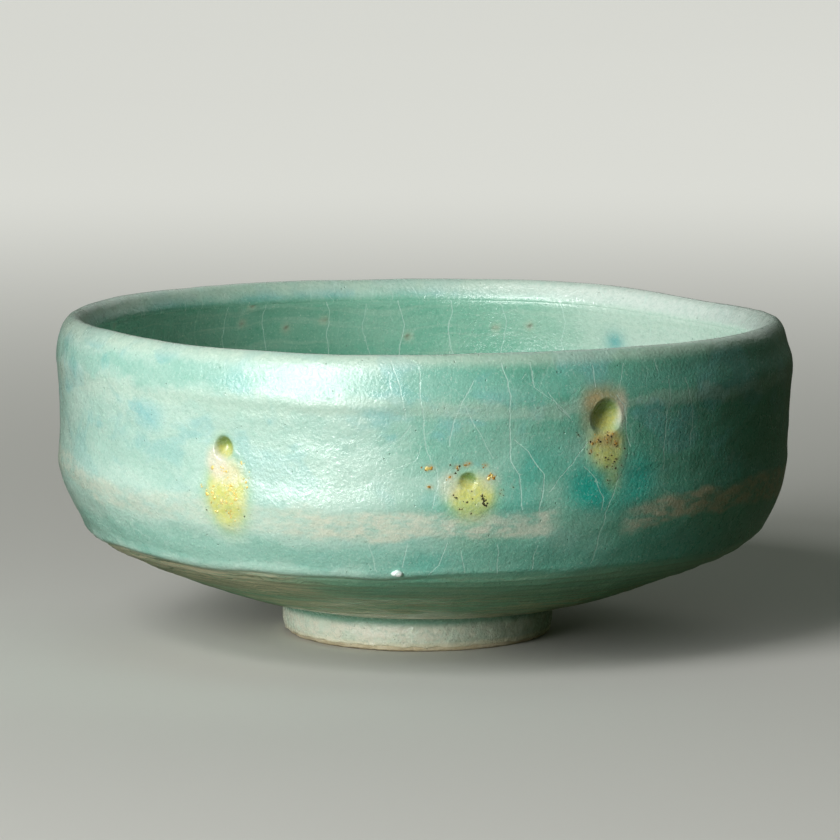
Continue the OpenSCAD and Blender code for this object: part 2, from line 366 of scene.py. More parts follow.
FLECKS = {
    "left": [(-41.4, 35.7), (-39.4, 39.3), (-40.4, 34.4), (-36.4, 38.8), (-33.3, 40.5), (-32.4, 37.1),
             (-31.8, 37.9), (-35.6, 35.5), (-35.3, 35.8), (-36.4, 33.2), (-37.3, 33.2), (-38.8, 33.8),
             (-35.6, 31.7), (-35.8, 31.1), (-39.2, 34.8), (-34.4, 33.9), (-35.2, 36.4), (-32.2, 36.2),
             (-36.0, 34.6), (-34.7, 35.0)],
    "left_dark": [(-40.9, 31.4), (-33.0, 30.8), (-40.6, 30.9)],
    "middle": [(0.6, 40.7), (1.2, 40.9), (0.9, 37.4), (4.4, 39.1), (7.2, 41.2), (7.8, 41.5), (11.7, 39.2),
               (11.2, 38.7), (10.6, 41.1), (5.7, 40.9)],
    "middle_dark": [(0.9, 37.2), (4.5, 41.3), (6.1, 41.0), (5.8, 40.3), (5.4, 39.8), (13.2, 36.0),
                    (13.4, 36.6), (13.6, 35.7), (15.5, 37.1), (5.0, 35.9), (5.5, 35.4), (8.2, 36.5),
                    (8.3, 35.2), (10.0, 35.7), (10.1, 35.2), (10.3, 34.8), (10.2, 34.3), (10.7, 34.0),
                    (7.4, 34.6), (6.1, 33.4), (6.5, 33.4), (8.1, 32.6)],
    "right": [(31.2, 45.0), (33.0, 44.9), (34.2, 45.8), (30.2, 44.3), (34.9, 44.0), (29.9, 43.0)],
    "right_dark": [(29.8, 44.6), (31.7, 44.5), (33.3, 46.1), (33.2, 45.6), (33.9, 45.3), (34.6, 43.8),
                   (35.0, 43.4), (29.7, 42.5), (31.2, 42.2), (32.8, 41.6), (33.3, 41.2), (34.0, 41.9),
                   (34.9, 41.2), (34.6, 40.7), (34.2, 39.9), (34.9, 39.5), (36.1, 39.9), (33.1, 39.9),
                   (33.3, 37.4), (27.4, 46.0), (36.7, 43.0)],
}


def wall_masks(u, z):
    """Smooth colour masks at points of the wall."""
    m = {}
    # yellow-green dabs under each press mark
    y = 0.95 * oval(u, z, -36.4, 34.6, 4.5, 6.8, 0.48)
    y = np.maximum(y, 0.55 * oval(u, z, -37.2, 41.5, 2.6, 4.0, 0.5))
    y = np.maximum(y, 0.95 * oval(u, z, 8.2, 35.4, 4.4, 4.2, 0.48))
    y = np.maximum(y, 0.85 * oval(u, z, 33.0, 43.4, 3.5, 5.0, 0.55))
    y = np.maximum(y, 0.55 * oval(u, z, 34.0, 38.0, 2.0, 4.4, 0.6))
    m["yellow"] = y
    # olive floor of the marks
    g = np.zeros_like(u)
    for k in MARKS:
        q = np.sqrt(((u - k[0]) / (k[2] * 1.02)) ** 2 + ((z - k[1] - 0.1) / (k[3] * 1.02)) ** 2)
        g = np.maximum(g, smooth(1.22, 0.72, q))
    m["olive"] = g
    # how far the point is from the middle line of the cream band
    back = smooth(208, 140, np.abs(u))
    zc = 30.2 + (1.2 * smooth(-28, -58, u) + 2.6 * smooth(-62, -86, u) + 1.1 * smooth(25, 46, u)) * back \
        + 0.5 * np.sin(8 * u / RU) + 0.25 * np.sin(18 * u / RU + 1)
    m["band"] = z - zc
    # how strongly the band shows round the bowl
    k = 0.85 + 0 * u
    k = k - (0.42 * smooth(-16, -30, u) - 0.15 * smooth(-52, -66, u)) * back
    k = k - 0.85 * smooth(20.5, 25.5, u) * smooth(40.5, 35.5, u) - 0.06 * smooth(36, 42, u) * back
    m["bandk"] = np.clip(k, 0, 1)
    # whitish and pinkish patches, and a painted highlight on the right rim of the right mark
    m["pale"] = np.clip(0.9 * oval(u, z, -38.6, 40.6, 1.9, 2.6, 0.6) + 0.95 * oval(u, z, 35.6, 50.2, 1.1, 2.8, 0.8) + 0.7 * oval(u, z, -36.0, 38.6, 2.6, 2.2, 0.7)
                        + 0.5 * oval(u, z, 4.2, 37.6, 1.8, 2.4, 0.7) + 0.35 * oval(u, z, 11.0, 38.6, 2.0, 1.6, 0.7), 0, 1)
    # rusty halo over the right mark and round the flecks
    h = 0.85 * oval(u, z, 32.4, 52.6, 3.1, 2.0, 0.95) + 0.62 * oval(u, z, 29.5, 50.0, 1.7, 3.6, 0.95) \
        + 0.6 * oval(u, z, 33.4, 44.6, 2.6, 1.5, 0.9)
    for name, s, a in (("middle", 0.55, 0.75), ("right", 0.7, 0.6), ("middle_dark", 0.32, 0.35), ("right_dark", 0.35, 0.35), ("left", 0.5, 0.22)):
        for (cu, cz) in FLECKS[name]:
            h = h + a * np.exp(-(((u - cu) / s) ** 2 + ((z - cz) / (s * 0.8)) ** 2))
    m["rust"] = np.clip(h, 0, 1)
    # saturated turquoise pools
    b = (1.0 * oval(u, z, 29.2, 36.2, 3.8, 3.6, 0.8) + 0.85 * oval(u, z, 40.2, 37.2, 3.0, 4.4, 0.8)
         + 0.6 * oval(u, z, 34.5, 33.6, 4.0, 2.4, 0.8)
         + 0.50 * oval(u, z, -54.0, 47.4, 3.0, 2.4, 0.9) + 0.35 * oval(u, z, 15.0, 35.0, 2.0, 4.0, 0.9)
         + 0.45 * oval(u, z, 18.5, 36.5, 2.0, 6.0, 0.9) + 0.35 * oval(u, z, 0.0, 24.0, 3.5, 4.0, 0.9)
         + 0.30 * oval(u, z, 21.0, 42.0, 6.0, 3.0, 0.9) + 0.3 * oval(u, z, 10.0, 33.0, 6.5, 1.6, 0.9)
         + 0.25 * oval(u, z, 1.5, 34.5, 2.0, 2.5, 0.9))
    m["blue"] = np.clip(b, 0, 1)
    return m


# --------------------------------------------------------------------------
# Node helpers
# --------------------------------------------------------------------------
def lin(r, g, b):
    f = lambda c: ((c / 255 + 0.055) / 1.055) ** 2.4 if c / 255 > 0.04045 else c / 255 / 12.92
    return (f(r), f(g), f(b), 1.0)


class Graph:
    def __init__(self, name):
        self.mat = bpy.data.materials.new(name)
        self.mat.use_nodes = True
        self.nt = self.mat.node_tree
        self.nt.nodes.clear()
        self.out = self.node("ShaderNodeOutputMaterial")
        self.bsdf = self.node("ShaderNodeBsdfPrincipled")
        self.nt.links.new(self.bsdf.outputs[0], self.out.inputs[0])
        tc = self.node("ShaderNodeTexCoord")
        self.P = self.vmath("SCALE", tc.outputs["Object"], scale=1000.0)
        sep = self.node("ShaderNodeSeparateXYZ")
        self.nt.links.new(self.P, sep.inputs[0])
        self.x, self.y, self.z = sep.outputs
        self.u = self.math("MULTIPLY", self.math("ARCTAN2", self.x, self.math("MULTIPLY", self.y, -1.0)), RU)
        self.r = self.math("SQRT", self.math("ADD", self.math("MULTIPLY", self.x, self.x), self.math("MULTIPLY", self.y, self.y)))
        rs = self.math("MAXIMUM", self.r, 1.0)
        self.ax, self.ay = self.math("DIVIDE", self.x, rs), self.math("DIVIDE", self.y, rs)

    def around(self, along, k):
        """Coordinates that run along, and k times round, with no seam."""
        return self.vec(along, self.math("MULTIPLY", self.ax, k), self.math("MULTIPLY", self.ay, k))

    def node(self, kind, **props):
        n = self.nt.nodes.new(kind)
        for k, v in props.items():
            setattr(n, k, v)
        return n

    def put(self, socket, v):
        if isinstance(v, bpy.types.NodeSocket):
            self.nt.links.new(v, socket)
        elif v is not None:
            socket.default_value = v

    def math(self, op, a, b=None, c=None, clamp=False):
        n = self.node("ShaderNodeMath", operation=op, use_clamp=clamp)
        for s, v in zip(n.inputs, (a, b, c)):
            self.put(s, v)
        return n.outputs[0]

    def vmath(self, op, a, b=None, c=None, scale=None):
        n = self.node("ShaderNodeVectorMath", operation=op)
        for s, v in zip(n.inputs, (a, b, c)):
            self.put(s, v)
        if scale is not None:
            self.put(n.inputs["Scale"], scale)
        return n.outputs["Value"] if op in ("LENGTH", "DOT_PRODUCT", "DISTANCE") else n.outputs["Vector"]

    def vec(self, x, y, z):
        n = self.node("ShaderNodeCombineXYZ")
        for s, v in zip(n.inputs, (x, y, z)):
            self.put(s, v)
        return n.outputs[0]

    def step(self, v, a, b, to0=0.0, to1=1.0, kind="SMOOTHSTEP"):
        n = self.node("ShaderNodeMapRange", interpolation_type=kind)
        n.clamp = True
        lo, hi, t0, t1 = a, b, to0, to1
        if a > b:
            lo, hi, t0, t1 = b, a, to1, to0
        self.put(n.inputs["Value"], v)
        n.inputs["From Min"].default_value = lo
        n.inputs["From Max"].default_value = hi
        n.inputs["To Min"].default_value = t0
        n.inputs["To Max"].default_value = t1
        return n.outputs["Result"]

    def noise(self, vector, scale=1.0, detail=2.0, rough=0.5, distort=0.0, color=False):
        n = self.node("ShaderNodeTexNoise")
        self.put(n.inputs["Vector"], vector)
        n.inputs["Scale"].default_value = scale
        n.inputs["Detail"].default_value = detail
        n.inputs["Roughness"].default_value = rough
        n.inputs["Distortion"].default_value = distort
        return n.outputs["Color" if color else "Fac"]

    def voronoi(self, vector, scale=1.0, feature="F1", rand=1.0, out="Distance"):
        n = self.node("ShaderNodeTexVoronoi", feature=feature)
        self.put(n.inputs["Vector"], vector)
        n.inputs["Scale"].default_value = scale
        n.inputs["Randomness"].default_value = rand
        return n.outputs[out]

    def mix(self, fac, a, b, mode="MIX"):
        n = self.node("ShaderNodeMix", data_type="RGBA", blend_type=mode)
        self.put(n.inputs[0], fac)
        self.put(n.inputs[6], a)
        self.put(n.inputs[7], b)
        return n.outputs[2]

    def attr(self, name):
        return self.node("ShaderNodeAttribute", attribute_name=name).outputs["Fac"]

    def stretched(self, sx, sy, sz):
        return self.vmath("MULTIPLY", self.P, (sx, sy, sz))

    def bump(self, height, strength, distance, normal=None):
        n = self.node("ShaderNodeBump")
        n.inputs["Strength"].default_value = strength
        n.inputs["Distance"].default_value = distance
        self.put(n.inputs["Height"], height)
        if normal is not None:
            self.put(n.inputs["Normal"], normal)
        return n.outputs[0]


# Craze lines that show on the front wall, as (along, up) points in mm, and how strong
CRAZE = [
    ([(-1.1, 58.9), (-0.7, 54.6), (-0.2, 47.5), (0.5, 43.9), (1.3, 41.8)], 0.8),
    ([(13.6, 59.2), (14.4, 55.3), (14.8, 51.8), (14.8, 45.5), (15.1, 41.9), (16.7, 39.2), (17.1, 32.9)], 1.0),
    ([(8.5, 56.3), (7.0, 53.0), (5.2, 49.5), (4.3, 44.1)], 0.8),
    ([(7.0, 51.9), (8.9, 47.8), (12.1, 42.0)], 0.7),
    ([(15.2, 45.7), (18.5, 43.0), (20.9, 39.2), (20.4, 32.4)], 1.0),
    ([(29.6, 45.0), (26.7, 41.4), (21.7, 35.6)], 1.0),
    ([(21.5, 54.2), (23.5, 50.9), (25.9, 48.8)], 0.9),
    ([(17.9, 57.6), (16.9, 56.1)], 0.8),
    ([(18.8, 57.9), (19.1, 54.3)], 0.8),
    ([(30.4, 58.3), (30.6, 53.8)], 0.9),
    ([(36.9, 58.3), (35.2, 53.7)], 0.8),
    ([(34.4, 52.8), (36.3, 50.6), (37.1, 45.3), (38.1, 42.7)], 0.9),
    ([(27.9, 40.6), (31.2, 37.6), (32.4, 34.4), (32.2, 31.7)], 0.8),
    ([(36.1, 38.3), (33.1, 31.6), (32.4, 21.5)], 0.8),
    ([(-6.2, 57.8), (-5.6, 53.5)], 0.6),
    ([(-3.2, 27.6), (-4.0, 22.0)], 0.9),
    ([(4.4, 27.6), (2.7, 22.8), (0.4, 20.6)], 0.9),
    ([(6.4, 25.9), (7.5, 21.3)], 0.8),
    ([(13.1, 26.7), (13.6, 20.8)], 0.8),
    ([(20.5, 26.4), (20.3, 20.9)], 0.8),
    ([(-10.0, 26.8), (-8.9, 20.9)], 0.7),
    ([(46.3, 54.9), (45.7, 46.6), (45.3, 38.1)], 0.8),
    ([(50.3, 54.9), (52.2, 47.3), (51.9, 41.7)], 0.8),
    ([(43.4, 58.8), (44.1, 55.9)], 0.7),
    ([(-6.1, 59.7), (-4.2, 55.4), (-3.0, 49.3)], 0.8),
    ([(-2.0, 48.8), (-4.2, 45.7), (-7.7, 44.4)], 0.7),
    ([(-7.7, 39.0), (-4.3, 40.9), (-1.3, 42.1), (-0.2, 44.8)], 0.7),
    ([(18.3, 59.4), (19.1, 54.8), (22.9, 52.0), (26.1, 48.6)], 0.8),
    ([(-11.5, 57.0), (-10.4, 51.5), (-12.0, 46.8)], 0.5),
    ([(1.8, 41.0), (2.4, 37.2), (1.2, 33.0)], 0.7),
]
# The same for the far side of the inside; along runs from the middle of the back
CRAZE_IN = [
    ([(-44.4, 58.1), (-45.7, 54.6), (-46.4, 50.1), (-45.2, 41.0)], 0.9),
    ([(-35.2, 58.5), (-36.4, 53.6), (-35.0, 44.0)], 0.8),
    ([(-22.5, 59.2), (-20.7, 55.0), (-21.4, 49.9), (-19.5, 38.0)], 0.9),
    ([(-4.2, 60.3), (-5.7, 56.8), (-4.3, 51.6), (-5.1, 47.5), (-6.6, 39.0)], 1.0),
    ([(5.1, 59.3), (6.2, 54.8), (5.0, 50.6), (5.7, 47.5), (8.5, 40.0)], 1.0),
    ([(16.7, 57.0), (17.9, 52.9), (17.2, 47.7), (14.6, 37.0)], 0.9),
    ([(30.5, 57.5), (31.7, 53.0), (30.6, 49.3), (33.0, 42.0)], 0.9),
    ([(50.9, 57.6), (54.0, 54.7), (53.0, 47.0)], 0.8),
    ([(-12.5, 56.5), (-13.6, 51.0), (-11.8, 45.5)], 0.6),
]


def craze_lines(g, width=0.15, table=None, along=None):
    """Lines that follow u = f(z), three to a curve node; the answer is 0 to 1."""
    v = g.math("DIVIDE", g.z, 62.0)
    jig = g.math("MULTIPLY", g.math("SUBTRACT", g.noise(g.P, 0.28, 3.0, 0.5), 0.5), 1.3)
    un = g.math("DIVIDE", g.math("ADD", along or g.u, jig), 100.0)
    uu = g.vec(un, un, un)
    vv = g.vec(v, v, v)
    total = None
    lines = sorted(table or CRAZE, key=lambda c: -c[1])
    while len(lines) % 3:
        lines.append(lines[-1])
    for k in range(0, len(lines), 3):
        n = g.node("ShaderNodeVectorCurve")
        g.put(n.inputs["Vector"], vv)
        n.mapping.use_clip = False
        strength = []
        for c in range(3):
            pts, s = lines[k + c]
            strength.append(s)
            pts = sorted(pts, key=lambda p: p[1])
            cur = n.mapping.curves[c]
            z0, z1 = pts[0][1] / 62.0, pts[-1][1] / 62.0
            xs = [(0.0, 9.0), (z0 - 0.006, 9.0)] + [(p[1] / 62.0, p[0] / 100.0) for p in pts] + [(z1 + 0.006, 9.0), (1.0, 9.0)]
            cur.points[0].location = xs[0]
            cur.points[1].location = xs[-1]
            for p in xs[1:-1]:
                cur.points.new(*p)
            for p in cur.points:
                p.handle_type = "VECTOR"
        n.mapping.update()
        d = g.vmath("ABSOLUTE", g.vmath("SUBTRACT", uu, n.outputs[0]))
        m = g.node("ShaderNodeMapRange", data_type="FLOAT_VECTOR", interpolation_type="SMOOTHSTEP")
        m.clamp = True
        g.put(m.inputs["Vector"], d)
        w = width / 100.0
        for nm, val in (("From_Min_FLOAT3", (w * 0.25,) * 3), ("From_Max_FLOAT3", (w,) * 3), ("To_Min_FLOAT3", tuple(strength)), ("To_Max_FLOAT3", (0, 0, 0))):
            sock = [s for s in m.inputs if s.identifier == nm][0]
            sock.default_value = val
        sep = g.node("ShaderNodeSeparateXYZ")
        g.nt.links.new(m.outputs["Vector"], sep.inputs[0])
        best = g.math("MAXIMUM", g.math("MAXIMUM", sep.outputs[0], sep.outputs[1]), sep.outputs[2])
        total = best if total is None else g.math("MAXIMUM", total, best)
    return total


def crackle(g, scale, stretch, seed, width, wobble=0.9):
    """A net of craze lines: Voronoi borders bent by noise."""
    off = g.vmath("SCALE", g.vmath("SUBTRACT", g.noise(g.P, 0.16, 3.0, 0.55, color=True), (0.5, 0.5, 0.5)), scale=wobble * 9.0)
    v = g.vmath("ADD", g.vmath("MULTIPLY", g.P, stretch), g.vmath("ADD", off, (seed * 17.0, seed * 5.0, seed * 29.0)))
    d = g.voronoi(v, 1.0 / scale, "DISTANCE_TO_EDGE")
    return g.step(d, width * 0.2 / scale, width / scale, 1.0, 0.0)


def inside_colour_painted_light(g, col):
    """The deeper glaze of the inside, with painted light: paler on the right, where the light falls in, and deeper on
    the left as painted shade.
    """
    col = g.mix(0.45, col, lin(102, 184, 148))
    col = g.mix(g.math("MULTIPLY", g.step(g.z, 60, 30), 0.35), col, lin(92, 174, 142))
    # painted light and shade: this runs from the shaded left to the lit right of the inside
    light_side = g.math("ADD", g.x, g.math("MULTIPLY", g.math("SUBTRACT", g.noise(g.P, 0.06, 2.0), 0.5), 30.0))
    col = g.mix(g.math("MULTIPLY", g.step(light_side, 6.0, 54.0), 0.85), col, lin(220, 238, 226))
    return g.mix(g.math("MULTIPLY", g.step(light_side, 0.0, -55.0), 0.65), col, lin(42, 142, 104))


def glaze_material(name, wall=True):
    """The turquoise glaze. wall: the outside, with its bands, marks and spots."""
    g = Graph(name)
    P = g.P
    # --- broad drift of colour: pooled turquoise against thinner, creamier glaze
    flow = g.noise(g.stretched(0.55, 0.55, 1.5), 0.075, 4.0, 0.55, 0.6)
    cloud = g.noise(P, 0.16, 4.0, 0.6, 0.3)
    fine = g.noise(g.stretched(1, 1, 1.6), 0.9, 3.0, 0.6)
    pale = lin(181, 221, 204)
    mid = lin(146, 205, 186)
    teal = lin(96, 178, 160)
    col = g.mix(g.step(flow, 0.36, 0.62), mid, pale)
    col = g.mix(g.math("MULTIPLY", g.step(cloud, 0.56, 0.74), 0.5), col, teal)
    col = g.mix(g.math("MULTIPLY", g.step(cloud, 0.46, 0.30), 0.35), col, lin(196, 226, 208))
    plain = col
    zw = g.math("ADD", g.z, g.math("MULTIPLY", g.math("SUBTRACT", g.noise(g.stretched(1, 1, 1.2), 0.11, 4.0, 0.6), 0.5), 9.0))
    if wall:
        # painted light across the front: paler towards the lit left as a painted sheen, deeper towards the shaded
        # right as painted shade
        light_across_u = g.math("ADD", g.u, g.math("MULTIPLY", g.math("SUBTRACT", g.noise(P, 0.05, 2.0), 0.5), 70.0))
        inx = g.step(g.math("ABSOLUTE", g.u), 150.0, 100.0)
        col = g.mix(g.math("MULTIPLY", g.math("MULTIPLY", g.step(light_across_u, 22.0, -22.0), inx), 0.52), col, lin(207, 230, 219))
        col = g.mix(g.math("MULTIPLY", g.math("MULTIPLY", g.step(light_across_u, -14.0, 40.0), inx), 0.78), col, lin(70, 166, 136))
        # drifts of a bluer glaze, mostly high on the wall
        sky = g.math("MULTIPLY", g.step(g.noise(g.stretched(1, 1, 1.5), 0.085, 3.0, 0.55, 0.4), 0.50, 0.62), g.step(g.z, 30.0, 50.0, 0.25, 1.0))
        col = g.mix(g.math("MULTIPLY", sky, 0.42), col, lin(122, 194, 198))
        # cream band low on the wall and a paler band under the shoulder
        bp = g.math("ADD", g.attr("band"), g.math("MULTIPLY", g.math("SUBTRACT", g.noise(g.stretched(1, 1, 1.3), 0.13, 4.0, 0.6), 0.5), 5.0))
        band = g.step(g.math("ABSOLUTE", bp), 3.3, 1.7)
        brk = g.step(g.noise(g.stretched(1, 1, 2.4), 0.30, 5.0, 0.65), 0.34, 0.60, 0.22, 1.0)
        ccol = g.mix(g.math("MULTIPLY", g.step(g.u, 25.0, 55.0), g.step(g.u, 205.0, 130.0)), lin(226, 228, 208), lin(216, 200, 166))
        col = g.mix(g.math("MULTIPLY", g.math("MULTIPLY", band, brk), g.attr("bandk")), col, ccol)
        band2 = g.math("MULTIPLY", g.step(zw, 49.0, 50.6), g.step(zw, 53.4, 51.6))
        col = g.mix(g.math("MULTIPLY", band2, 0.30), col, lin(205, 224, 205))
        # turquoise gathers above the roll and in a belt below the shoulder
        pool = g.math("MULTIPLY", g.step(zw, 20.0, 22.5), g.step(zw, 27.6, 25.0))
        col = g.mix(g.math("MULTIPLY", pool, 0.45), col, teal)
        pool2 = g.math("MULTIPLY", g.step(zw, 52.5, 54.5), g.step(zw, 58.6, 56.0))
        col = g.mix(g.math("MULTIPLY", pool2, 0.40), col, lin(116, 190, 172))
        # the lip and the underside, where the glaze is thin over pale clay
        lip = g.step(g.z, 57.6, 59.8)
        col = g.mix(g.math("MULTIPLY", lip, 0.55), col, lin(206, 224, 205))
        # painted light: the inner side of the lip is painted paler towards the right, where light falls on it
        turned = g.math("MULTIPLY", g.step(g.r, 67.6, 64.6), g.step(g.z, 54.0, 56.0))
        col = g.mix(g.math("MULTIPLY", g.math("MULTIPLY", turned, g.step(g.x, -10.0, 45.0)), 0.85), col, lin(232, 244, 236))
        # the inner side of the lip takes the inside colour, with its painted light and shade
        col = g.mix(g.attr("inn"), col, inside_colour_painted_light(g, plain))
        # underside
        und = g.attr("under")
        bend = g.math("MULTIPLY", g.noise(P, 0.09, 3.0, 0.6), 5.0)
        rb = g.math("ADD", g.r, bend)
        ring = g.noise(g.around(g.math("MULTIPLY", rb, 0.75), 1.6), 1.0, 4.0, 0.65)
        ring2 = g.noise(g.around(g.math("MULTIPLY", rb, 2.4), 3.4), 1.0, 4.0, 0.65)
        ucol = g.mix(g.step(ring, 0.42, 0.60), lin(146, 204, 172), lin(198, 206, 170))
        ucol = g.mix(g.math("MULTIPLY", g.step(ring2, 0.56, 0.72), 0.55), ucol, lin(224, 224, 196))
        ucol = g.mix(g.math("MULTIPLY", g.step(ring2, 0.46, 0.34), 0.60), ucol, lin(122, 122, 90))
        # close to the foot, and on the outer edge at the left, the clay shows in dry streaks
        near = g.math("MAXIMUM", g.math("MULTIPLY", g.step(g.r, 43.0, 30.0), 0.95),
                      g.math("MULTIPLY", g.step(g.math("ABSOLUTE", g.math("ADD", g.u, 56.0)), 40.0, 22.0), g.step(g.r, 46.0, 56.0)))
        ucol = g.mix(g.math("MULTIPLY", near, g.step(ring2, 0.36, 0.56)), ucol, lin(230, 216, 184))
        ucol = g.mix(g.math("MULTIPLY", near, g.math("MULTIPLY", g.step(ring2, 0.46, 0.38), 0.7)), ucol, lin(134, 124, 92))
        belt = g.math("MULTIPLY", g.step(g.r, 50.0, 55.0), g.step(g.math("ABSOLUTE", g.math("SUBTRACT", g.u, 34.0)), 62.0, 44.0))
        ucol = g.mix(g.math("MULTIPLY", belt, 0.65), ucol, lin(126, 190, 164))
        col = g.mix(und, col, ucol)
        # the dabs
        spot = g.noise(P, 0.9, 3.0, 0.6)
        yel = g.math("MULTIPLY", g.attr("yellow"), g.step(spot, 0.10, 0.55, 0.65, 1.0))
        ycol = g.mix(g.step(g.attr("yellow"), 0.25, 0.90), lin(176, 212, 150), lin(222, 222, 118))
        ycol = g.mix(g.math("MULTIPLY", g.step(g.noise(P, 0.55, 3.0), 0.5, 0.66), 0.4), ycol, lin(232, 230, 176))
        col = g.mix(yel, col, ycol)
        col = g.mix(g.math("MULTIPLY", g.attr("blue"), 1.0), col, g.mix(g.step(g.u, -20.0, 0.0), lin(126, 200, 206), lin(42, 174, 156)))
        # whitish patches, with a painted highlight on the right rim of the right mark
        col = g.mix(g.math("MULTIPLY", g.attr("pale"), 0.85), col, lin(240, 230, 206))
        col = g.mix(g.math("MULTIPLY", g.attr("rust"), 0.75), col, lin(198, 158, 98))
        # olive glaze in the marks, painted darker towards the top of each hollow as painted shade
        ol = g.attr("olive")
        col = g.mix(ol, col, g.mix(g.step(g.attr("olive_top_shade"), 0.0, 1.0), lin(202, 202, 112), lin(124, 152, 74)))
    else:
        col = inside_colour_painted_light(g, col)
        # turning rings show as faint paler bands
        rings = g.noise(g.around(g.math("MULTIPLY", g.math("ADD", g.z, g.math("MULTIPLY", g.noise(P, 0.05, 2.0), 6.0)), 0.7), 1.2), 1.0, 3.0, 0.6)
        col = g.mix(g.math("MULTIPLY", g.step(rings, 0.5, 0.66), 0.22), col, lin(200, 224, 206))
        col = g.mix(g.attr("blue"), col, lin(84, 176, 178))
        col = g.mix(g.attr("pin_rim"), col, lin(206, 216, 190))
        col = g.mix(g.attr("pin_dot"), col, lin(96, 92, 66))
    # --- small specks, dark and pale, and a mottled grain
    col = g.mix(g.math("MULTIPLY", g.step(fine, 0.40, 0.68), 0.18), col, lin(116, 176, 156))
    grain = g.noise(P, 2.3, 3.0, 0.65)
    col = g.mix(g.math("MULTIPLY", g.step(grain, 0.54, 0.72), 0.22), col, lin(98, 150, 130))
    col = g.mix(g.math("MULTIPLY", g.step(grain, 0.46, 0.30), 0.26), col, lin(222, 238, 226))
    v1 = g.voronoi(P, 0.62)
    pick = g.noise(P, 0.33, 2.0, 0.5)
    speck = g.math("MULTIPLY", g.step(v1, 0.12, 0.05), g.step(pick, 0.50, 0.60))
    col = g.mix(g.math("MULTIPLY", speck, 0.40), col, lin(88, 126, 108))
    v2 = g.voronoi(g.vmath("ADD", P, (31.0, 7.0, 11.0)), 1.35)
    speck2 = g.math("MULTIPLY", g.step(v2, 0.18, 0.08), g.step(g.noise(P, 0.5, 2.0), 0.46, 0.56))
    col = g.mix(g.math("MULTIPLY", speck2, 0.30), col, lin(108, 152, 134))
    v3 = g.voronoi(g.vmath("ADD", P, (3.0, 47.0, 19.0)), 0.9)
    speck3 = g.math("MULTIPLY", g.step(v3, 0.17, 0.08), g.step(g.noise(P, 0.41, 2.0), 0.5, 0.6))
    col = g.mix(g.math("MULTIPLY", speck3, 0.40), col, lin(228, 238, 226))
    # --- craze lines
    net = crackle(g, 9.5, (1.0, 1.0, 0.42), 1.0, 0.17, 0.9 if wall else 0.45)
    net2 = crackle(g, 5.2, (1.0, 1.0, 0.7), 2.0, 0.10, 0.6)
    net_on = g.step(g.noise(P, 0.05, 2.0), 0.42, 0.58)
    lines = g.math("MAXIMUM", g.math("MULTIPLY", net, g.math("MULTIPLY", net_on, 0.55 if wall else 0.75)),
                   g.math("MULTIPLY", net2, 0.16))
    if wall:
        lines = g.math("MULTIPLY", lines, g.math("SUBTRACT", 1.0, g.math("MULTIPLY", g.attr("front"), 0.55)))
        lines = g.math("MAXIMUM", lines, craze_lines(g))
        lines = g.math("MULTIPLY", lines, g.math("SUBTRACT", 1.0, und))
    else:
        far = g.math("MULTIPLY", g.math("ARCTAN2", g.x, g.y), RU)
        lines = g.math("MAXIMUM", g.math("MULTIPLY", lines, g.step(g.y, 20.0, -5.0, 0.25, 1.0)), craze_lines(g, 0.16, CRAZE_IN, far))
    col = g.mix(g.math("MULTIPLY", lines, 0.62), col, lin(208, 238, 226))
    g.put(g.bsdf.inputs["Base Color"], col)
    # --- gloss
    rn = g.noise(P, 0.7, 3.0, 0.6)
    rough = g.step(rn, 0.3, 0.75, 0.25, 0.40)
    if wall:
        rough = g.math("ADD", rough, g.math("MULTIPLY", und, 0.15))
    g.put(g.bsdf.inputs["Roughness"], rough)
    g.bsdf.inputs["IOR"].default_value = 1.52
    g.bsdf.inputs["Coat Weight"].default_value = 0.75
    g.bsdf.inputs["Coat Roughness"].default_value = 0.07
    g.bsdf.inputs["Coat IOR"].default_value = 1.5
    # --- orange peel and the swell of the glaze
    peel = g.noise(P, 1.55, 3.0, 0.6)
    swell = g.noise(g.stretched(0.8, 0.8, 1.0), 0.22, 3.0, 0.5)
    pits = g.math("MULTIPLY", g.step(v1, 0.14, 0.05), g.step(pick, 0.52, 0.60))
    height = g.math("ADD", g.math("MULTIPLY", peel, 1.0), g.math("MULTIPLY", pits, -0.7))
    height = g.math("ADD", height, g.math("MULTIPLY", g.noise(P, 4.4, 2.0, 0.6), 0.30))
    height = g.math("ADD", height, g.math("MULTIPLY", lines, -0.15))
    nrm = g.bump(height, 1.0, 0.00012)
    nrm = g.bump(swell, 0.5, 0.0004, nrm)
    g.put(g.bsdf.inputs["Normal"], nrm)
    g.put(g.bsdf.inputs["Coat Normal"], nrm)
    return g.mat


# --------------------------------------------------------------------------
# Pieces
# --------------------------------------------------------------------------
def u_spacing(u):
    s = np.where(np.abs(u) < 74, 0.64, 1.6)
    s = np.where((np.abs(u) >= 74) & (np.abs(u) < 112), 1.0, s)
    for m in MARKS:
        s = np.where(np.abs(u - m[0]) < m[2] + 3.2, 0.27, s)
    return s


def wall_spacing(r, z):
    s = np.where(z > 56, 0.48, 0.66)
    s = np.where((z > 34.5) & (z < 53.5), 0.33, s)
    s = np.where(z < 19, 0.85, s)
    s = np.where((z >= 19) & (z < 22.5), 0.4, s)
    return s


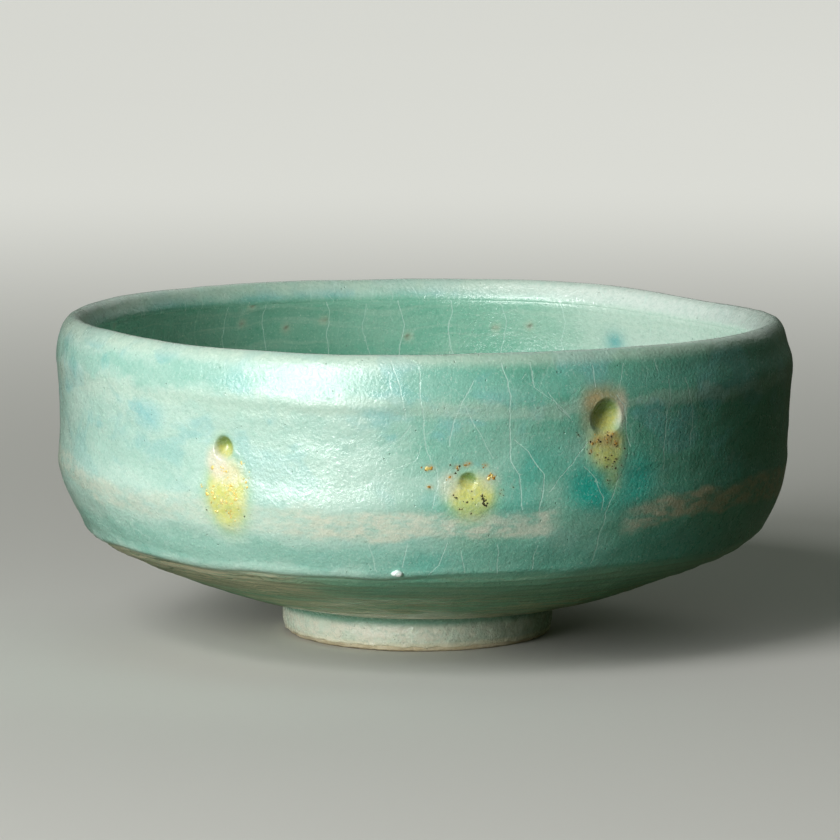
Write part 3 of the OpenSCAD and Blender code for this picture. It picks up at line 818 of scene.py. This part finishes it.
TH = angles(u_spacing)
S_FOOT = 0.55
S_LIP = LEDGE + 0.2
rows_o = rows_between(S_LIP, S_FOOT, wall_spacing)
back_o = rows_between(S_FOOT, S_LIP, lambda r, z: np.where((z > 34) & (z < 53), 1.5, 4.2))
T2, S2 = np.meshgrid(TH, rows_o)
edge_in = -0.22 * smooth(LEDGE - 0.35, S_LIP, S2)
front_pts = surface(T2, S2, lift=edge_in)
T3, S3 = np.meshgrid(TH, back_o)
back_pts = surface(T3, S3, grow=0.75, sink=1.0)
pts = np.vstack([front_pts.reshape(-1, 3), back_pts.reshape(-1, 3)])
outer = make_mixed("outer_glaze_coat", pts, [tube_faces(len(rows_o) + len(back_o), len(TH), True)])
U2 = T2.ravel() * RU
Z2 = catmull(STN, S2.ravel())[:, 1]
S2r = S2.ravel()
masks = wall_masks(U2, Z2)
nb = len(back_pts.reshape(-1, 3))
for k, v in masks.items():
    attribute(outer, k, np.concatenate([v, np.zeros(nb)]))


# painted shade in the marks: 0 low in each hollow, rising to 1 at its upper edge, tilted to one side
def olive_shade_ramp(u, z):
    v = np.zeros_like(u)
    for m in MARKS:
        near = mark_rho(m, u, z) < 1.8
        v = np.where(near, smooth(-0.9 * m[3], 0.9 * m[3], z - m[1] + 0.35 * (u - m[0]) * (1 if m[0] < 20 else -1)), v)
    return v


attribute(outer, "olive_top_shade", np.concatenate([olive_shade_ramp(U2, Z2), np.zeros(nb)]))
under = smooth(roll_edge(U2) + 0.7, roll_edge(U2) - 1.1, Z2) * (S2r < LEDGE - 6)
attribute(outer, "under", np.concatenate([under, np.zeros(nb)]))
attribute(outer, "inn", np.concatenate([smooth(LEDGE - 1.8, LEDGE - 0.1, S2r), np.zeros(nb)]))
attribute(outer, "front", np.concatenate([smooth(62, 50, np.abs(U2 - 8)), np.zeros(nb)]))

mat_wall = glaze_material("turquoise_glaze", True)
finish_piece(outer, mat_wall, ["outer_glaze"])

# Inside: from under the lip's coat down to the middle of the floor
TH_I = angles(lambda u: np.where(np.abs(u) > 60, 0.9, 1.3))
I_TOP, I_END = LEDGE - 0.55, len(STN) - 1.12
rows_i = rows_between(I_TOP, I_END, lambda r, z: np.where(z > 45, 0.6, np.where(r < 20, 0.9, 1.3)))
back_i = rows_between(I_END, I_TOP, lambda r, z: np.full_like(r, 4.0))
T4, S4 = np.meshgrid(TH_I, rows_i)
fi = surface(T4, S4, lift=-0.16 * smooth(LEDGE + 0.25, LEDGE - 0.3, S4))
T5, S5 = np.meshgrid(TH_I, back_i)
bi = surface(T5, S5, sink=1.0)
rings = np.concatenate([bi, fi])
v_in, f_in = lathe(rings, (0, 0, bi[0, :, 2].mean()), (0, 0, fi[-1, :, 2].mean()))
inner = make_mixed("inner_glaze_coat", v_in, f_in)
U4 = T4.ravel() * RU
Z4 = catmull(STN, S4.ravel())[:, 1]
PINS = [(-147.2, 56.6), (-145.3, 53.2), (-154.2, 51.7), (-161.5, 53.0), (-109.0, 56.1), (-177.1, 49.3), (166.8, 51.2), (160.4, 51.8)]
prim, pdot, blue = np.zeros_like(U4), np.zeros_like(U4), np.zeros_like(U4)
for a, z0 in PINS:
    du = (T4.ravel() - math.radians(a) + np.pi) % (2 * np.pi) - np.pi
    q = np.hypot(du * 64, (Z4 - z0) * 1.0)
    prim = np.maximum(prim, 0.7 * np.exp(-(q / 0.9) ** 2))
    pdot = np.maximum(pdot, np.exp(-(q / 0.38) ** 2))
du = T4.ravel() - math.radians(143.0)
blue = 0.8 * np.exp(-((du * 64 / 2.2) ** 2 + ((Z4 - 50.0) / 2.0) ** 2))
nb = len(bi.reshape(-1, 3))
for nm, v in (("pin_rim", prim), ("pin_dot", pdot), ("blue", blue)):
    attribute(inner, nm, np.concatenate([np.zeros(nb), v, np.zeros(2)]))
mat_in = glaze_material("inner_glaze", False)
finish_piece(inner, mat_in, ["inner_glaze"])

# ---- Clay: the thrown body, from the recess ceiling out, up, over and in ----
FX = -1.2            # the foot's middle
FR = 25.3            # clay radius of the foot
TH_C = angles(lambda u: np.full_like(u, 1.45))
ct, st_ = np.cos(TH_C), np.sin(TH_C)


def foot_ringline(r, z):
    return np.stack([np.sin(TH_C) * r + FX, -np.cos(TH_C) * r, np.broadcast_to(z, TH_C.shape).astype(float)], -1)


rows_c = rows_between(0.5, len(STN) - 1.12, lambda r, z: np.full_like(r, 1.15))
T6, S6 = np.meshgrid(TH_C, rows_c)
cl = surface(T6, S6, grow=1.3, sink=1.0)
turn = 0.12 * np.sin(np.array([2.0, 4.5, 7, 9.5, 12, 14.5, 17, 19.4]) * 1.9)
recess = [foot_ringline(r, 5.0 + t) for r, t in zip([7.4, 9.5, 11.6, 13.7, 15.8, 17.6, 19.2, 20.3], turn)]
nip = [foot_ringline(r, z) for r, z in [(0.9, 4.12), (2.2, 4.22), (4.0, 4.45), (5.8, 4.75)]]
seat = [foot_ringline(20.5, 5.4), foot_ringline(20.5, 6.7), foot_ringline(21.6, 6.85)]
ringsC = np.concatenate([np.array(nip + recess + seat), cl])
v_c, f_c = lathe(ringsC, (FX, 0, 4.1), (0, 0, cl[-1, :, 2].mean()))
clay = make_mixed("clay_thrown_body", v_c, f_c)


def clay_material(name):
    g = Graph(name)
    rings_n = g.noise(g.around(g.math("ADD", g.math("MULTIPLY", g.r, 1.4), g.math("MULTIPLY", g.z, 1.2)), 2.0), 1.0, 4.0, 0.65)
    blot = g.noise(g.P, 0.22, 4.0, 0.6)
    col = g.mix(g.step(blot, 0.35, 0.65), lin(220, 210, 182), lin(200, 186, 152))
    col = g.mix(g.math("MULTIPLY", g.step(rings_n, 0.5, 0.68), 0.55), col, lin(150, 128, 92))
    v = g.voronoi(g.P, 1.1)
    grit = g.math("MULTIPLY", g.step(v, 0.24, 0.12), g.step(g.noise(g.P, 0.7, 2.0), 0.48, 0.56))
    col = g.mix(g.math("MULTIPLY", grit, 0.7), col, lin(92, 72, 50))
    pale = g.step(g.noise(g.P, 1.9, 3.0, 0.6), 0.56, 0.7)
    col = g.mix(g.math("MULTIPLY", pale, 0.35), col, lin(228, 220, 196))
    # scorched where the bare clay stood in the kiln
    low = g.math("MULTIPLY", g.step(g.math("ADD", g.z, g.math("MULTIPLY", g.noise(g.P, 0.45, 3.0), 1.0)), 0.95, 0.55), 0.75)
    col = g.mix(low, col, lin(134, 116, 86))
    g.put(g.bsdf.inputs["Base Color"], col)
    g.put(g.bsdf.inputs["Roughness"], g.step(blot, 0.3, 0.7, 0.72, 0.9))
    h = g.math("ADD", g.math("MULTIPLY", rings_n, 1.0), g.math("MULTIPLY", g.noise(g.P, 2.4, 4.0, 0.65), 0.8))
    g.put(g.bsdf.inputs["Normal"], g.bump(h, 0.7, 0.0003))
    return g.mat


mat_clay = clay_material("stoneware_clay")
finish_piece(clay, mat_clay, ["clay_body"])

# ---- Foot ring -----------------------------------------------------------
TH_F = np.linspace(-np.pi, np.pi, 361)[:-1]
FOOT_SEC = [(20.5, 6.85), (20.5, 6.0), (20.5, 5.0), (20.75, 4.0), (21.0, 3.0), (21.2, 2.2), (21.4, 1.4),
            (21.55, 0.8), (21.8, 0.35), (22.2, 0.05), (22.9, 0.0), (23.6, 0.0), (24.4, 0.0), (24.95, 0.07),
            (25.2, 0.28), (25.32, 0.65), (25.37, 1.2), (25.37, 2.0), (25.35, 3.0), (25.33, 4.2), (25.3, 5.4),
            (25.3, 6.4), (25.3, 6.85)]


def foot_wobble(th, z):
    x, y = np.sin(th) * 25, -np.cos(th) * 25
    return (0.16 * bump_noise(x / 1.0, y / 1.0, z * 1.4, 5.0, 21, 2) + 0.10 * bump_noise(x, y, z * 2.0, 1.6, 22, 2)
            + 0.12 * np.sin(2 * th + 0.9))


fring = []
for (r, z) in FOOT_SEC:
    zz = np.full_like(TH_F, z)
    out_side = smooth(22.5, 24.6, np.array(r))
    w = foot_wobble(TH_F, zz)
    lowz = smooth(1.6, 0.3, np.array(z)) * out_side
    # the trimmed lower edge is chipped and cut at a slant here and there
    chip = lowz * (0.35 * smooth(0.1, 0.75, bump_noise(np.sin(TH_F) * 25, np.cos(TH_F) * 25, zz * 0, 3.2, 25, 3))
                   + 0.5 * smooth(0.5, 1.0, np.cos(TH_F + 1.05)) ** 2)
    rr = r + w * out_side - chip
    z2 = zz + np.where(zz > 0.02, 0.0, 0.10 * np.clip(bump_noise(np.sin(TH_F) * 23, np.cos(TH_F) * 23, zz * 0 + r, 2.2, 27, 2), 0, 1))
    fring.append(np.stack([np.sin(TH_F) * rr + FX, -np.cos(TH_F) * rr, z2], -1))
fring = np.array(fring)
foot = make_mixed("foot_ring_clay", fring.reshape(-1, 3), [tube_faces(len(fring), len(TH_F), True)])
finish_piece(foot, mat_clay, ["foot_ring"])

# ---- Glaze on the foot: thin, milky, pooled dark where it meets the bowl ----
xf, yf = np.sin(TH_F) * 25, -np.cos(TH_F) * 25
zlow = 0.46 + 0.22 * bump_noise(xf, yf, xf * 0, 7.0, 31, 2) + 0.22 * bump_noise(xf, yf, xf * 0, 1.9, 33, 2) \
    + 0.5 * smooth(0.3, 1.0, np.cos(TH_F + 0.75)) ** 2 + 0.35 * smooth(0.6, 1.0, np.cos(TH_F - 0.55))
NZ = 24
grows = []
for k in range(NZ + 1):
    f = k / NZ
    z = zlow + (6.62 - zlow) * f
    w = foot_wobble(TH_F, z)
    t = 0.16 + 0.38 * smooth(0.0, 0.35, np.array(f))
    flare = 0.15 * smooth(5.0, 6.0, z) + 1.15 * smooth(5.5, 6.75, z) ** 2
    dent = 0.10 * bump_noise(xf, yf, z * 1.2, 3.0, 35, 3)
    r = 25.33 + w + t + flare + dent * smooth(0.0, 0.3, np.array(f))
    grows.append(np.stack([np.sin(TH_F) * r + FX, -np.cos(TH_F) * r, z], -1))
for k in range(NZ, -1, -6):
    f = k / NZ
    z = zlow + (6.62 - zlow) * f
    r = 25.28 + foot_wobble(TH_F, z)
    grows.append(np.stack([np.sin(TH_F) * r + FX, -np.cos(TH_F) * r, z], -1))
grows = np.array(grows)
fglaze = make_mixed("foot_glaze_coat", grows.reshape(-1, 3), [tube_faces(len(grows), len(TH_F), True)])


def foot_glaze_material():
    g = Graph("foot_glaze")
    n1 = g.noise(g.stretched(1, 1, 0.8), 0.35, 4.0, 0.6)
    n2 = g.noise(g.P, 1.4, 3.0, 0.6)
    col = g.mix(g.step(n1, 0.34, 0.62), lin(224, 238, 220), lin(240, 240, 222))
    col = g.mix(g.math("MULTIPLY", g.step(n2, 0.5, 0.7), 0.35), col, lin(150, 186, 166))
    # pooled where the foot meets the bowl
    zz = g.math("ADD", g.z, g.math("MULTIPLY", g.math("SUBTRACT", n1, 0.5), 1.6))
    col = g.mix(g.math("MULTIPLY", g.step(zz, 4.2, 5.8), 0.85), col, lin(96, 158, 138))
    # painted shade: the foot glaze is darker towards the right, away from the light
    col = g.mix(g.math("MULTIPLY", g.math("MULTIPLY", g.step(g.u, -6.0, 46.0), g.step(g.u, 200.0, 110.0)), 0.5), col, lin(128, 150, 124))
    # thin and warm at the lower edge
    low = g.step(zz, 2.0, 1.0)
    col = g.mix(g.math("MULTIPLY", low, 0.7), col, lin(226, 218, 188))
    v = g.voronoi(g.P, 1.5)
    sp = g.math("MULTIPLY", g.step(v, 0.26, 0.12), g.step(g.noise(g.P, 0.6, 2.0), 0.50, 0.6))
    col = g.mix(g.math("MULTIPLY", sp, 0.5), col, lin(120, 128, 100))
    net = crackle(g, 4.2, (1.0, 1.0, 0.8), 3.0, 0.16)
    col = g.mix(g.math("MULTIPLY", net, 0.14), col, lin(150, 168, 140))
    g.put(g.bsdf.inputs["Base Color"], col)
    g.put(g.bsdf.inputs["Roughness"], g.step(n2, 0.3, 0.7, 0.14, 0.34))
    g.bsdf.inputs["IOR"].default_value = 1.5
    h = g.math("ADD", g.noise(g.P, 1.0, 3.0, 0.6), g.math("MULTIPLY", g.noise(g.P, 3.4, 2.0, 0.6), 0.4))
    g.put(g.bsdf.inputs["Normal"], g.bump(h, 0.8, 0.0003))
    return g.mat


mat_foot = foot_glaze_material()
finish_piece(fglaze, mat_foot, ["foot_glaze"])

# ---- Yellow dabs: low lenses of glaze over the wall, round each mark --------
mat_yellow = glaze_material("yellow_glaze", True)
DABS = {"left": (-36.5, 36.0, 5.0, 9.6), "middle": (8.0, 36.2, 5.7, 5.8), "right": (33.0, 43.9, 4.9, 10.6)}


def dab_lift(q, u, z, seed):
    return (0.13 * np.clip(1 - q * q, 0, 1) * smooth(1.0, 0.6, q) + 0.05 * bump_noise(u, z, u * 0, 1.6, seed, 2) * smooth(0.95, 0.5, q)
            - 0.10 * smooth(0.80, 1.0, q) + 0.015)


for n_d, (nm, (cu, cz, ra, rb)) in enumerate(DABS.items()):
    NR, NA = 58, 168
    q = np.linspace(0.012, 1.0, NR)[:, None] * np.ones((1, NA))
    a = np.linspace(0, 2 * np.pi, NA, endpoint=False)[None, :] * np.ones((NR, 1))
    edge = 1 + 0.05 * np.sin(3 * a + n_d) + 0.03 * np.sin(5 * a + 2 * n_d)
    uu = cu + ra * q * edge * np.cos(a) * (1 - 0.18 * np.clip(-np.sin(a), 0, 1) ** 2)
    zz = cz + rb * q * edge * np.sin(a)
    lf = dab_lift(q, uu, zz, 40 + n_d)
    top = surface(uu / RU, s_of_z(zz), lift=lf)
    und_ = surface(uu[::-6] / RU, s_of_z(zz[::-6]), lift=-0.30 + 0 * lf[::-6], grow=0.15)
    rings_d = np.concatenate([und_[::-1], top])
    pc = surface(np.array([[cu / RU]]), s_of_z(np.array([[cz]])), lift=np.array([[lf[0, 0]]]))[0, 0]
    pb = surface(np.array([[cu / RU]]), s_of_z(np.array([[cz]])), lift=np.array([[-0.30]]), grow=0.15)[0, 0]
    vd, fd = lathe(np.concatenate([und_[::-1], top[::-1]]), tuple(pb), tuple(pc))
    ob = make_mixed("yellow_dab_" + nm, vd, fd)
    zer = np.zeros(und_.shape[0] * NA)
    ut, zt = uu[::-1].ravel(), zz[::-1].ravel()
    mk = wall_masks(ut, zt)
    mc = wall_masks(np.array([cu]), np.array([cz]))
    for k, v in mk.items():
        attribute(ob, k, np.concatenate([zer, v, [0], mc[k]]))
    attribute(ob, "olive_top_shade", np.concatenate([zer, olive_shade_ramp(ut, zt), [0, 0]]))
    attribute(ob, "under", np.zeros(len(zer) + len(ut) + 2))
    attribute(ob, "front", np.ones(len(zer) + len(ut) + 2))
    finish_piece(ob, mat_yellow, ["yellow_spot_" + nm])


# ---- Flecks: irregular chips bedded in the dabs ------------------------------
def inside_dab(u, z):
    for n_d, (cu, cz, ra, rb) in enumerate(DABS.values()):
        q = math.hypot((u - cu) / ra, (z - cz) / rb)
        if q < 1:
            return dab_lift(np.array([[q]]), np.array([[u]]), np.array([[z]]), 40 + n_d)[0, 0]
    return 0.0


def fleck_mesh(name, items, mat):
    verts, tris = [], []
    for (u, z, size) in items:
        n = int(rng.integers(6, 9))
        ang = np.sort(rng.uniform(0, 2 * np.pi, n)) + rng.uniform(0, 1)
        ang = np.linspace(0, 2 * np.pi, n, endpoint=False) + rng.uniform(-0.25, 0.25, n)
        rad = size * rng.uniform(0.6, 1.25, n)
        rot, sq = rng.uniform(0, np.pi), rng.uniform(0.55, 1.0)
        dx, dz = rad * np.cos(ang), rad * np.sin(ang) * sq
        du = dx * math.cos(rot) - dz * math.sin(rot)
        dv = dx * math.sin(rot) + dz * math.cos(rot)
        base = inside_dab(u, z)
        th0 = np.concatenate([u + du * 1.0, u + du * 0.62, [u], u + du * 1.0, [u]])
        z0 = np.concatenate([z + dv, z + dv * 0.62, [z], z + dv, [z]])
        up = base + np.concatenate([np.full(n, 0.015), np.full(n, 0.07), [0.085], np.full(n, -0.10), [-0.10]])
        P = surface(th0[None, :] / RU, s_of_z(z0[None, :]), lift=up[None, :])[0]
        k = sum(len(v) for v in verts)
        verts.append(P)
        for i in range(n):
            j = (i + 1) % n
            tris += [(k + i, k + j, k + n + j), (k + i, k + n + j, k + n + i), (k + n + i, k + n + j, k + 2 * n),
                     (k + 2 * n + 1 + i, k + j, k + i), (k + 2 * n + 1 + i, k + 2 * n + 1 + j, k + j),
                     (k + 3 * n + 1, k + 2 * n + 1 + j, k + 2 * n + 1 + i)]
    ob = make_mixed(name, np.vstack(verts), [np.array(tris)])
    ob.data.polygons.foreach_set("use_smooth", np.zeros(len(ob.data.polygons), dtype=bool))
    finish_piece(ob, mat, ["gold_flecks"])
    return ob


def strew(points, size, extra, spread):
    out = []
    for (u, z) in points:
        out.append((u, z, size * rng.uniform(0.75, 1.35)))
        for _ in range(int(rng.integers(0, extra + 1))):
            out.append((u + rng.normal(0, spread), z + rng.normal(0, spread), size * rng.uniform(0.4, 0.75)))
    return out


def fleck_material(name, c1, c2, metallic, rough):
    g = Graph(name)
    n = g.noise(g.P, 3.0, 3.0, 0.6)
    g.put(g.bsdf.inputs["Base Color"], g.mix(g.step(n, 0.35, 0.65), c1, c2))
    g.bsdf.inputs["Metallic"].default_value = metallic
    g.put(g.bsdf.inputs["Roughness"], g.step(n, 0.3, 0.7, rough, rough + 0.2))
    g.put(g.bsdf.inputs["Normal"], g.bump(g.noise(g.P, 6.0, 2.0), 0.5, 0.00006))
    return g.mat


mat_gold = fleck_material("gold_leaf", lin(255, 243, 172), lin(240, 208, 98), 0.35, 0.22)
mat_rust = fleck_material("amber_speck", lin(214, 168, 72), lin(146, 104, 36), 0.15, 0.32)
mat_dark = fleck_material("iron_speck", lin(58, 60, 24), lin(34, 36, 16), 0.05, 0.42)
GOLD_M = [(11.7, 39.2), (11.2, 38.7), (0.6, 40.7)]
left_rand = [(-36.5 + 3.6 * math.cos(t) * q, 34.6 + 5.6 * math.sin(t) * q)
             for t, q in zip(rng.uniform(0, 2 * np.pi, 34), np.sqrt(rng.uniform(0, 1, 34)))]
fleck_mesh("gold_flecks_left", strew(FLECKS["left"], 0.34, 2, 0.5) + strew(left_rand, 0.21, 0, 0.3)
           + strew(GOLD_M, 0.36, 1, 0.35), mat_gold)
mid_rust = [p for p in FLECKS["middle"] if p not in GOLD_M] + [(1.2, 40.6), (0.2, 40.4), (0.9, 37.5), (11.5, 39.4), (12.0, 38.8)]
fleck_mesh("amber_flecks", strew(mid_rust, 0.27, 3, 0.35) + strew(FLECKS["right"], 0.22, 3, 0.6), mat_rust)
fleck_mesh("dark_flecks", strew(FLECKS["middle_dark"], 0.19, 2, 0.3) + strew([(10.0, 35.6), (10.2, 35.1), (10.4, 34.7), (10.2, 34.3), (10.7, 34.0), (10.9, 34.4)], 0.27, 2, 0.22) + strew(FLECKS["right_dark"], 0.17, 2, 0.45)
           + strew(FLECKS["left_dark"], 0.15, 1, 0.3), mat_dark)

# ---- White drop that hangs from the glaze roll -------------------------------
NU, NV = 28, 18
bu, bz = -5.1, 21.35
va = np.linspace(0.12, np.pi - 0.12, NV)[:, None] * np.ones((1, NU))
ua = np.linspace(0, 2 * np.pi, NU, endpoint=False)[None, :] * np.ones((NV, 1))
ex = 1.08 * np.cos(va)
ey = 0.60 * np.sin(va) * np.cos(ua)
ez = 0.52 * np.sin(va) * np.sin(ua)
ey = ey * (1 + 0.18 * np.sin(ex * 2.2 + 0.5)) - 0.12 * np.abs(ex)
o = surface(np.array([[bu / RU]]), s_of_z(np.array([[bz]])))[0, 0]
o2 = surface(np.array([[bu / RU]]), s_of_z(np.array([[bz + 0.5]])))[0, 0]
Xa = np.array([math.cos(bu / RU), math.sin(bu / RU), 0.0])
Ya = (o2 - o) / np.linalg.norm(o2 - o)
Na = np.cross(Xa, Ya)
blob = o + ex[..., None] * Xa + ey[..., None] * Ya + (ez[..., None] + 0.10) * Na
vb, fb = lathe(blob, tuple(o + 1.10 * Xa + 0.02 * Na), tuple(o - 1.10 * Xa + 0.02 * Na))
bead = make_mixed("glaze_drop", vb, fb)
gb = Graph("white_glaze")
nb_ = gb.noise(gb.P, 1.6, 3.0, 0.6)
gb.put(gb.bsdf.inputs["Base Color"], gb.mix(gb.step(nb_, 0.35, 0.65), lin(214, 236, 230), lin(244, 248, 244)))
gb.put(gb.bsdf.inputs["Roughness"], gb.step(nb_, 0.3, 0.7, 0.16, 0.34))
gb.put(gb.bsdf.inputs["Normal"], gb.bump(gb.noise(gb.P, 2.2, 3.0), 0.5, 0.0002))
finish_piece(bead, gb.mat, ["glaze_bead"])


# --------------------------------------------------------------------------
# Floor and light
# --------------------------------------------------------------------------
def floor(name, z, albedo, camera_only):
    me = bpy.data.meshes.new(name)
    n = 96
    prof = [(1.7, 0.0), (2.0, 0.015), (2.3, 0.07), (2.6, 0.19), (2.85, 0.42), (3.0, 0.8), (3.05, 1.4), (3.05, 3.6)] if camera_only else [(9.0, 0.0)]
    vs = [(0, 0, z)]
    for (pr, pz) in prof:
        vs += [(pr * math.sin(2 * math.pi * i / n), pr * math.cos(2 * math.pi * i / n), z + pz) for i in range(n)]
    fs = [(0, 1 + (i + 1) % n, 1 + i) for i in range(n)]
    for k in range(len(prof) - 1):
        fs += [(1 + k * n + i, 1 + k * n + (i + 1) % n, 1 + (k + 1) * n + (i + 1) % n, 1 + (k + 1) * n + i) for i in range(n)]
    me.from_pydata(vs, [], fs)
    me.polygons.foreach_set("use_smooth", np.ones(len(me.polygons), dtype=bool))
    ob = bpy.data.objects.new(name, me)
    bpy.context.scene.collection.objects.link(ob)
    m = bpy.data.materials.new(name)
    m.use_nodes = True
    nt = m.node_tree
    b = nt.nodes["Principled BSDF"]
    b.inputs["Base Color"].default_value = albedo
    b.inputs["Roughness"].default_value = 0.9
    b.inputs["Specular IOR Level"].default_value = 0.1
    if camera_only:
        # the far floor is lit evenly, as if by its own lamps
        tc = nt.nodes.new("ShaderNodeTexCoord")
        ln = nt.nodes.new("ShaderNodeVectorMath")
        ln.operation = "LENGTH"
        nt.links.new(tc.outputs["Object"], ln.inputs[0])
        mr = nt.nodes.new("ShaderNodeMapRange")
        mr.interpolation_type = "SMOOTHSTEP"
        nt.links.new(ln.outputs["Value"], mr.inputs["Value"])
        mr.inputs["From Min"].default_value = 0.10
        mr.inputs["From Max"].default_value = 1.1
        mr.inputs["To Min"].default_value = 0.0
        mr.inputs["To Max"].default_value = 0.52
        nt.links.new(mr.outputs["Result"], b.inputs["Emission Strength"])
        b.inputs["Emission Color"].default_value = (1.0, 1.0, 0.95, 1)
        ob.visible_diffuse = False
        ob.visible_glossy = False
        ob.visible_transmission = False
    else:
        # darker to the right of the bowl, like a dark card laid there
        tc = nt.nodes.new("ShaderNodeTexCoord")
        sp = nt.nodes.new("ShaderNodeSeparateXYZ")
        nt.links.new(tc.outputs["Object"], sp.inputs[0])
        mr = nt.nodes.new("ShaderNodeMapRange")
        mr.interpolation_type = "SMOOTHSTEP"
        nt.links.new(sp.outputs[0], mr.inputs["Value"])
        mr.inputs["From Min"].default_value = 0.02
        mr.inputs["From Max"].default_value = 0.16
        mix = nt.nodes.new("ShaderNodeMix")
        mix.data_type = "RGBA"
        nt.links.new(mr.outputs["Result"], mix.inputs[0])
        mix.inputs[6].default_value = albedo
        mix.inputs[7].default_value = (albedo[0] * 0.38, albedo[1] * 0.36, albedo[2] * 0.29, 1)
        nt.links.new(mix.outputs[2], b.inputs["Base Color"])
        ob.visible_camera = False
    me.materials.append(m)
    return ob


floor("floor", 0.0, (0.70, 0.70, 0.66, 1), True)
floor("floor_bounce", -0.0004, (0.95, 0.96, 0.80, 1), False)


def area(name, az, el, dist, w, h, power, color=(1, 1, 1), aim=(0, 0, 0.035)):
    d = bpy.data.lights.new(name, "AREA")
    d.shape = "RECTANGLE"
    d.size, d.size_y = w, h
    d.energy = power
    d.color = color
    o = bpy.data.objects.new(name, d)
    bpy.context.scene.collection.objects.link(o)
    a, e = math.radians(az), math.radians(el)
    p = Vector((math.sin(a) * math.cos(e), -math.cos(a) * math.cos(e), math.sin(e))) * dist + Vector(aim)
    o.location = p
    o.rotation_euler = (Vector(aim) - p).to_track_quat("-Z", "Y").to_euler()
    return o


area("key", -39, 21.0, 1.25, 0.52, 0.62, 12.3, (1.0, 0.985, 0.99))
area("high_card", -36, 43, 1.25, 0.60, 0.26, 3.4, (1.0, 1.0, 0.98))
area("low_card", -33, 3.6, 1.05, 0.55, 0.12, 2.7, (1.0, 1.0, 0.96), (0, 0, 0.010))
area("back_fill", 160, 34, 2.2, 2.4, 1.4, 6.0, (1.0, 1.0, 0.98))

world = bpy.data.worlds.new("world")
bpy.context.scene.world = world
world.use_nodes = True
world.node_tree.nodes["Background"].inputs[0].default_value = (0.60, 0.78, 0.55, 1)
world.node_tree.nodes["Background"].inputs[1].default_value = 0.06
bpy.context.scene.view_settings.view_transform = "Standard"
